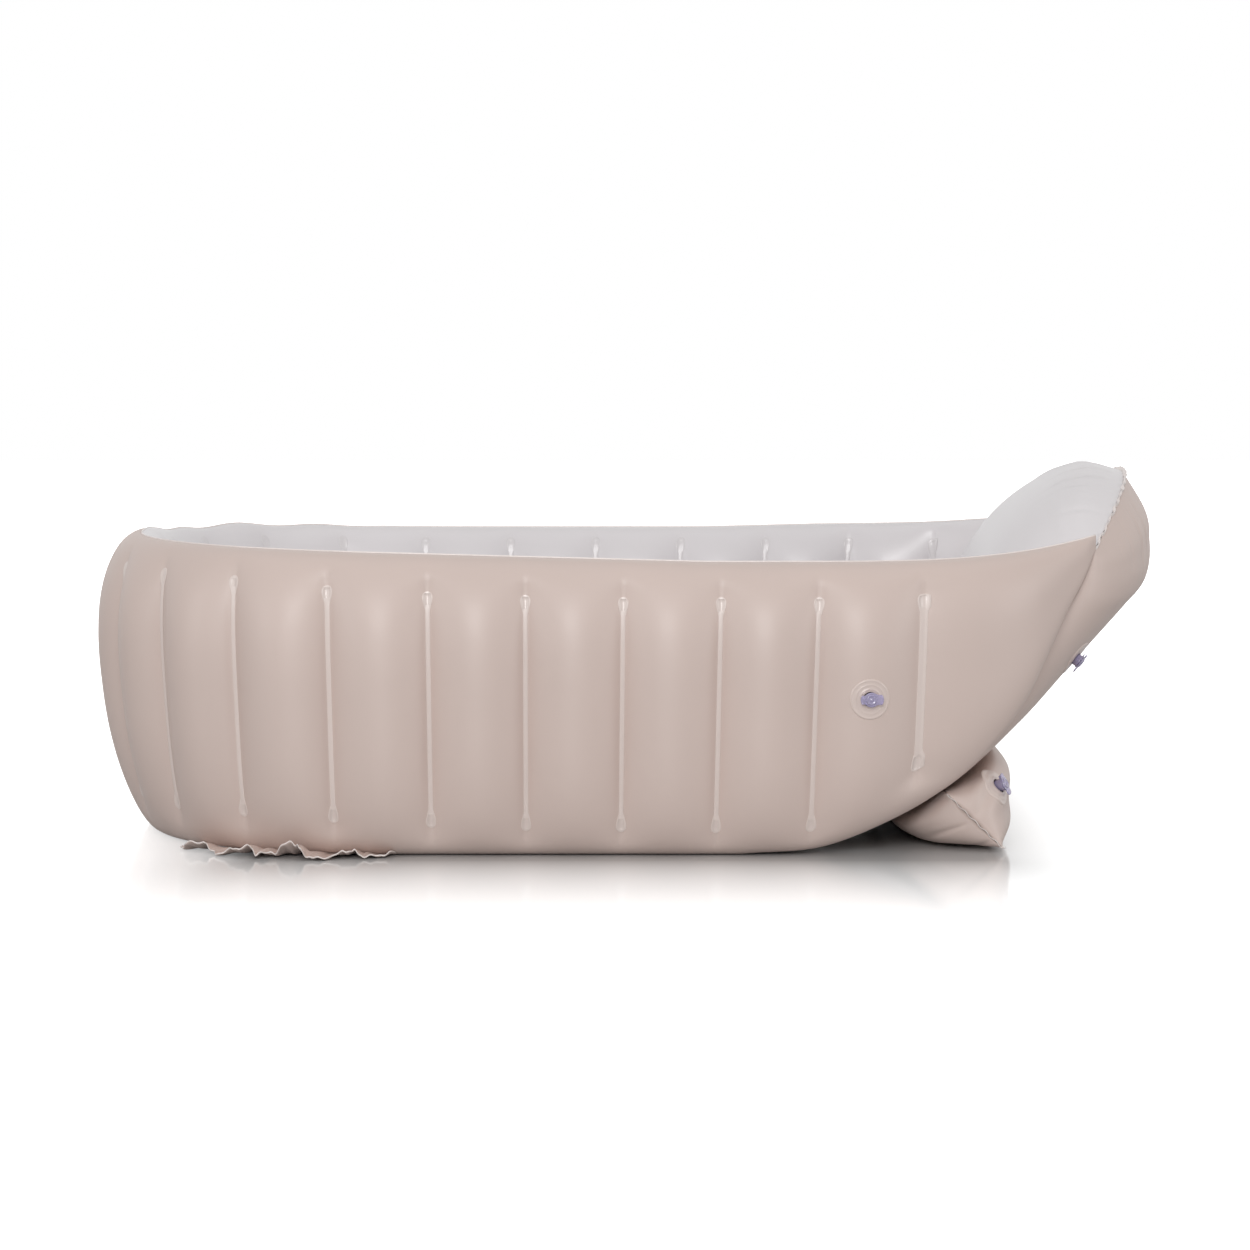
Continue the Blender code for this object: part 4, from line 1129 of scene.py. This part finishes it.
def drapeOn(place, filmPoints):
    # The film's height over the valve's own plane: a least-squares quartic in x and y,
    # and a weighted mean of what it leaves over at the film's nearest points.
    reach = valve["drapeReach"]
    powers = [(i, j) for i in range(5) for j in range(5 - i)]
    turn = np.array(place.to_3x3())
    facing = unit(np.cross(np.gradient(filmPoints, axis=0), np.gradient(filmPoints, axis=1))) @ turn[:, 2]
    local = (filmPoints - np.array(place.translation)) @ turn / reach
    close = (np.hypot(local[..., 0], local[..., 1]) < 1.0) & (np.abs(local[..., 2]) < 0.9)
    near = local[close & (np.abs(facing) > 0.3)]
    terms = np.stack([near[:, 0] ** i * near[:, 1] ** j for i, j in powers], axis=-1)
    fit = np.linalg.lstsq(terms, near[:, 2], rcond=None)[0]
    left = near[:, 2] - terms @ fit

    def height(x, y):
        x, y = x / reach, y / reach
        apart = (x[..., None] - near[:, 0]) ** 2 + (y[..., None] - near[:, 1]) ** 2
        weight = np.exp(-apart / 0.01)
        smooth = sum(share * x**i * y**j for share, (i, j) in zip(fit, powers))
        return reach * (smooth + (weight * left).sum(axis=-1) / (weight.sum(axis=-1) + 1e-9))

    return height


def weldRing(name, nodeName, place, drape):
    # the welded disc round the stem: a thin ring with three soft ridges
    radius = np.linspace(valve["ringInner"], valve["ringOuter"], 44)
    height = np.full_like(radius, valve["ringHeight"])
    for middle, spread, rise in valve["ringRidges"]:
        height = height + rise * np.exp(-(((radius - middle) / spread) ** 2))
    height = height * np.sqrt(np.clip((valve["ringOuter"] - radius) / 0.0009, 0.0, 1.0)) + 0.00005
    top = np.stack([radius, height + filmThickness / 2], axis=-1)
    under = np.stack([radius[::-1], np.full_like(radius, -filmThickness / 4)], axis=-1)
    ring = turnedShell(np.concatenate([top, under]), place, steps=96, drape=drape)
    piece = shellPiece(name + "Ring", [ring], valveRing)
    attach(piece, "root")
    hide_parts(nodeName)


def tongueShell(start, end, halfWidth, thickness, middleZ, place):
    # a flat tongue along x with a boxy rounded section, its half width a function of x
    share = eased(43)
    x = start + (end - start) * share
    line = np.stack([x, np.zeros_like(x), np.full_like(x, middleZ)], axis=-1)
    rounded = thickness * np.clip(np.sqrt(np.sin(math.pi * share) * 4), 0.35, 1.0)
    width = np.maximum(2 * halfWidth(x), 0.0003)
    points, faces = ribbonShell(line, (0.0, 1.0, 0.0), (0.0, 0.0, 1.0), width, rounded, squareness=0.45)
    return intoPlace(points, place), faces


def roundedEnd(x, end, radius):
    # 1 up to a rounded end, then down to 0 at it by a quarter circle
    past = np.clip((np.abs(x) - (abs(end) - radius)) / radius, 0.0, 1.0)
    return np.sqrt(1 - past**2)


def capHalfWidth(x):
    # a round lid joined smoothly with its tab on one side and its strap on the other
    lid = np.sqrt(np.clip(valve["lidRadius"] ** 2 - x**2, 0.0, None))
    tab = np.where(x < 0, valve["tabHalfWidth"] * roundedEnd(x, valve["tabReach"], 0.0022), 0.0)
    strap = np.where(x > 0, valve["strapHalfWidth"] * roundedEnd(x, valve["strapReach"], 0.0014), 0.0)
    return (lid**6 + tab**6 + strap**6) ** (1 / 6)


def stemProfile():
    outer = valve["stemRadius"]
    bore = valve["boreRadius"]
    top = valve["stemTop"]
    low = top - valve["stemLength"]
    lip = 0.0004
    body = [(bore, low + lip), (bore + lip, low), (outer - lip, low), (outer, low + lip), (outer, top - 0.0016)]
    head = [(outer + lip, top - 0.0011), (outer + lip * 1.3, top - lip), (outer + lip, top - 0.0001)]
    return body + head + [(outer - lip, top), (bore + lip, top), (bore, top - lip)]


def domeProfile(low, high):
    # the plug under the lid, and the low dome with a sunken ring above it
    bore = valve["boreRadius"]
    plug = bore - 0.00035
    middle = (low + high) / 2
    under = [(0.0002, low - 0.0026), (plug - 0.0006, low - 0.0026), (plug, low - 0.0020), (plug, middle)]
    rim = [(bore + 0.0006, middle), (bore + 0.0006, high + 0.0001), (bore + 0.0001, high + 0.0006)]
    ring = [(bore - 0.0006, high + 0.0007), (bore - 0.0012, high + 0.0002), (0.0014, high + 0.0003)]
    return under + rim + ring + [(0.0006, high + 0.0007), (0.0002, high + 0.0008)]


def makeValve(name, nodeName, place, filmPoints):
    drape = drapeOn(place, filmPoints)
    weldRing(name, nodeName + "_flange", place, drape)
    top = valve["stemTop"]
    lug = tongueShell(0.0049, 0.0081, lambda x: np.full_like(x, 0.0022), 0.0009, top - 0.0012, place)
    stem = shellPiece(name + "Stem", [turnedShell(stemProfile(), place), lug], clearVinyl)
    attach(stem, nodeName + "_stem")
    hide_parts(nodeName + "_stem")
    low = top + valve["lidGap"]
    high = low + valve["lidThickness"]
    tongue = tongueShell(-valve["tabReach"], valve["strapReach"], capHalfWidth, high - low, (low + high) / 2, place)
    dome = turnedShell(domeProfile(low, high), place, closed=False)
    lid = shellPiece(name + "Cap", [tongue, dome], clearVinyl)
    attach(lid, nodeName + "_cap")
    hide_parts(nodeName + "_cap")


makeValve("wallValve", "wall_valve", wallHole[0], wallOuterPoints)
makeValve("cushionValve", "cushion_valve", cushionHole[0], cushionBackPoints)
makeValve("bolsterValve", "bolster_valve", bolsterHole[0], bolsterUpperPoints)
makeValve("floorValve", "floor_valve", floorHole[0], matTopPoints)
print("valves made")


# Camera, light and ground

view = {
    "lens": 114.4,
    "place": (0.0, -3.699, 0.483),
    "pitchDown": 4.72,
    "worldLight": 0.455,
    # the ground's grey tone and the lift to white that grows away from the bath paint a shadow and reflection round
    # the bath's foot
    "groundTone": 0.60,
    "groundLift": 1.04,
    "liftReach": 0.50,
    "liftPower": 0.8,
    "footprint": (0.80, 0.31),
    "footprintStretch": 2.5,
    "groundSize": 8.0,
    "groundRoughness": 0.10,
    "groundSpecular": 0.4,
}


# each lamp's place, target, size and watts
lamps = {
    "overhead": ((0.0, -0.3, 2.6), (0.0, 0.0, 0.1), (3.2, 2.4), 8.5),
    "front": ((-0.3, -3.4, 1.35), (0.0, 0.0, 0.15), (1.3, 0.9), 36.5),
    "left": ((-3.0, -2.2, 1.1), (0.0, 0.0, 0.15), (1.4, 1.4), 13.5),
    "right": ((3.0, -1.4, 0.8), (0.0, 0.0, 0.15), (1.4, 1.2), 13.0),
}


def makeCamera():
    camera = bpy.data.objects.new("camera", bpy.data.cameras.new("camera"))
    camera.data.lens = view["lens"]
    camera.data.sensor_width = 36.0
    camera.location = view["place"]
    camera.rotation_euler = (math.radians(90 - view["pitchDown"]), 0.0, 0.0)
    bpy.context.scene.collection.objects.link(camera)
    bpy.context.scene.camera = camera


def softLight(name, place, target, size, watts):
    lamp = bpy.data.lights.new(name, "AREA")
    lamp.shape = "RECTANGLE"
    lamp.size, lamp.size_y = size
    lamp.energy = watts
    light = bpy.data.objects.new(name, lamp)
    light.location = place
    light.rotation_euler = (Vector(target) - Vector(place)).to_track_quat("-Z", "Y").to_euler()
    bpy.context.scene.collection.objects.link(light)


def makeWorld():
    # white where it is seen, dimmer where it only lights
    world = bpy.data.worlds.new("paleRoom")
    bpy.context.scene.world = world
    world.use_nodes = True
    tree = world.node_tree
    rays = addNode(tree, "LightPath", {}).outputs
    shown = rays["Is Camera Ray"]
    for name in ("Is Transmission Ray", "Is Glossy Ray"):
        shown = addNode(tree, "Math", {0: shown, 1: rays[name]}, operation="MAXIMUM").outputs["Value"]
    strength = addNode(tree, "MapRange", {"Value": shown, "To Min": view["worldLight"], "To Max": 1.0})
    feed(tree, tree.nodes["Background"], {"Color": pureWhite, "Strength": strength.outputs["Result"]})


def makeGround():
    # the camera sees the ground lifted to white, by a power of its distance from the bath;
    # held back near the bath, the lift leaves a painted shadow and reflection round its foot, over the grey ground's
    # real shade
    size = view["groundSize"]
    points = np.array([[-size, -size, 0.0], [size, -size, 0.0], [size, size, 0.0], [-size, size, 0.0]])
    made = bpy.data.materials.new("paleGround")
    made.use_nodes = True
    tree = made.node_tree
    origin = (0.0, 0.0, 0.0)
    beyond = addNode(tree, "TexCoord", {}).outputs["Object"]
    for operation, by in (
        ("MULTIPLY", (view["footprintStretch"], 1.0, 0.0)),
        ("ABSOLUTE", origin),
        ("SUBTRACT", (*view["footprint"], 0.0)),
        ("MAXIMUM", origin),
    ):
        beyond = addNode(tree, "VectorMath", {0: beyond, 1: by}, operation=operation).outputs["Vector"]
    far = addNode(tree, "VectorMath", {0: beyond}, operation="LENGTH").outputs["Value"]
    lift = addNode(tree, "MapRange", {"Value": far, "From Max": view["liftReach"]}).outputs["Result"]
    cameraRay = addNode(tree, "LightPath", {}).outputs["Is Camera Ray"]
    for operation, by in (("POWER", view["liftPower"]), ("MULTIPLY", cameraRay), ("MULTIPLY", view["groundLift"])):
        lift = addNode(tree, "Math", {0: lift, 1: by}, operation=operation).outputs["Value"]
    sockets = {
        "Base Color": (*[view["groundTone"]] * 3, 1.0),
        "Roughness": view["groundRoughness"],
        "Specular IOR Level": view["groundSpecular"],
        "Emission Color": pureWhite,
        "Emission Strength": lift,
    }
    feed(tree, tree.nodes["Principled BSDF"], sockets)
    meshPiece("ground", points, [[0, 1, 2, 3]], made, smooth=False)


makeCamera()
makeWorld()
makeGround()
for lampName, lampLook in lamps.items():
    softLight(lampName, *lampLook)
bpy.context.scene.view_settings.view_transform = "Standard"
print("camera, light and ground made")

for nodeName, node in frame["nodes"].items():
    material = clearVinyl if "valve" in nodeName else whiteVinyl
    if nodeName.startswith("drain"):
        material = drainRubber
    node.data.materials.clear()
    node.data.materials.append(material)
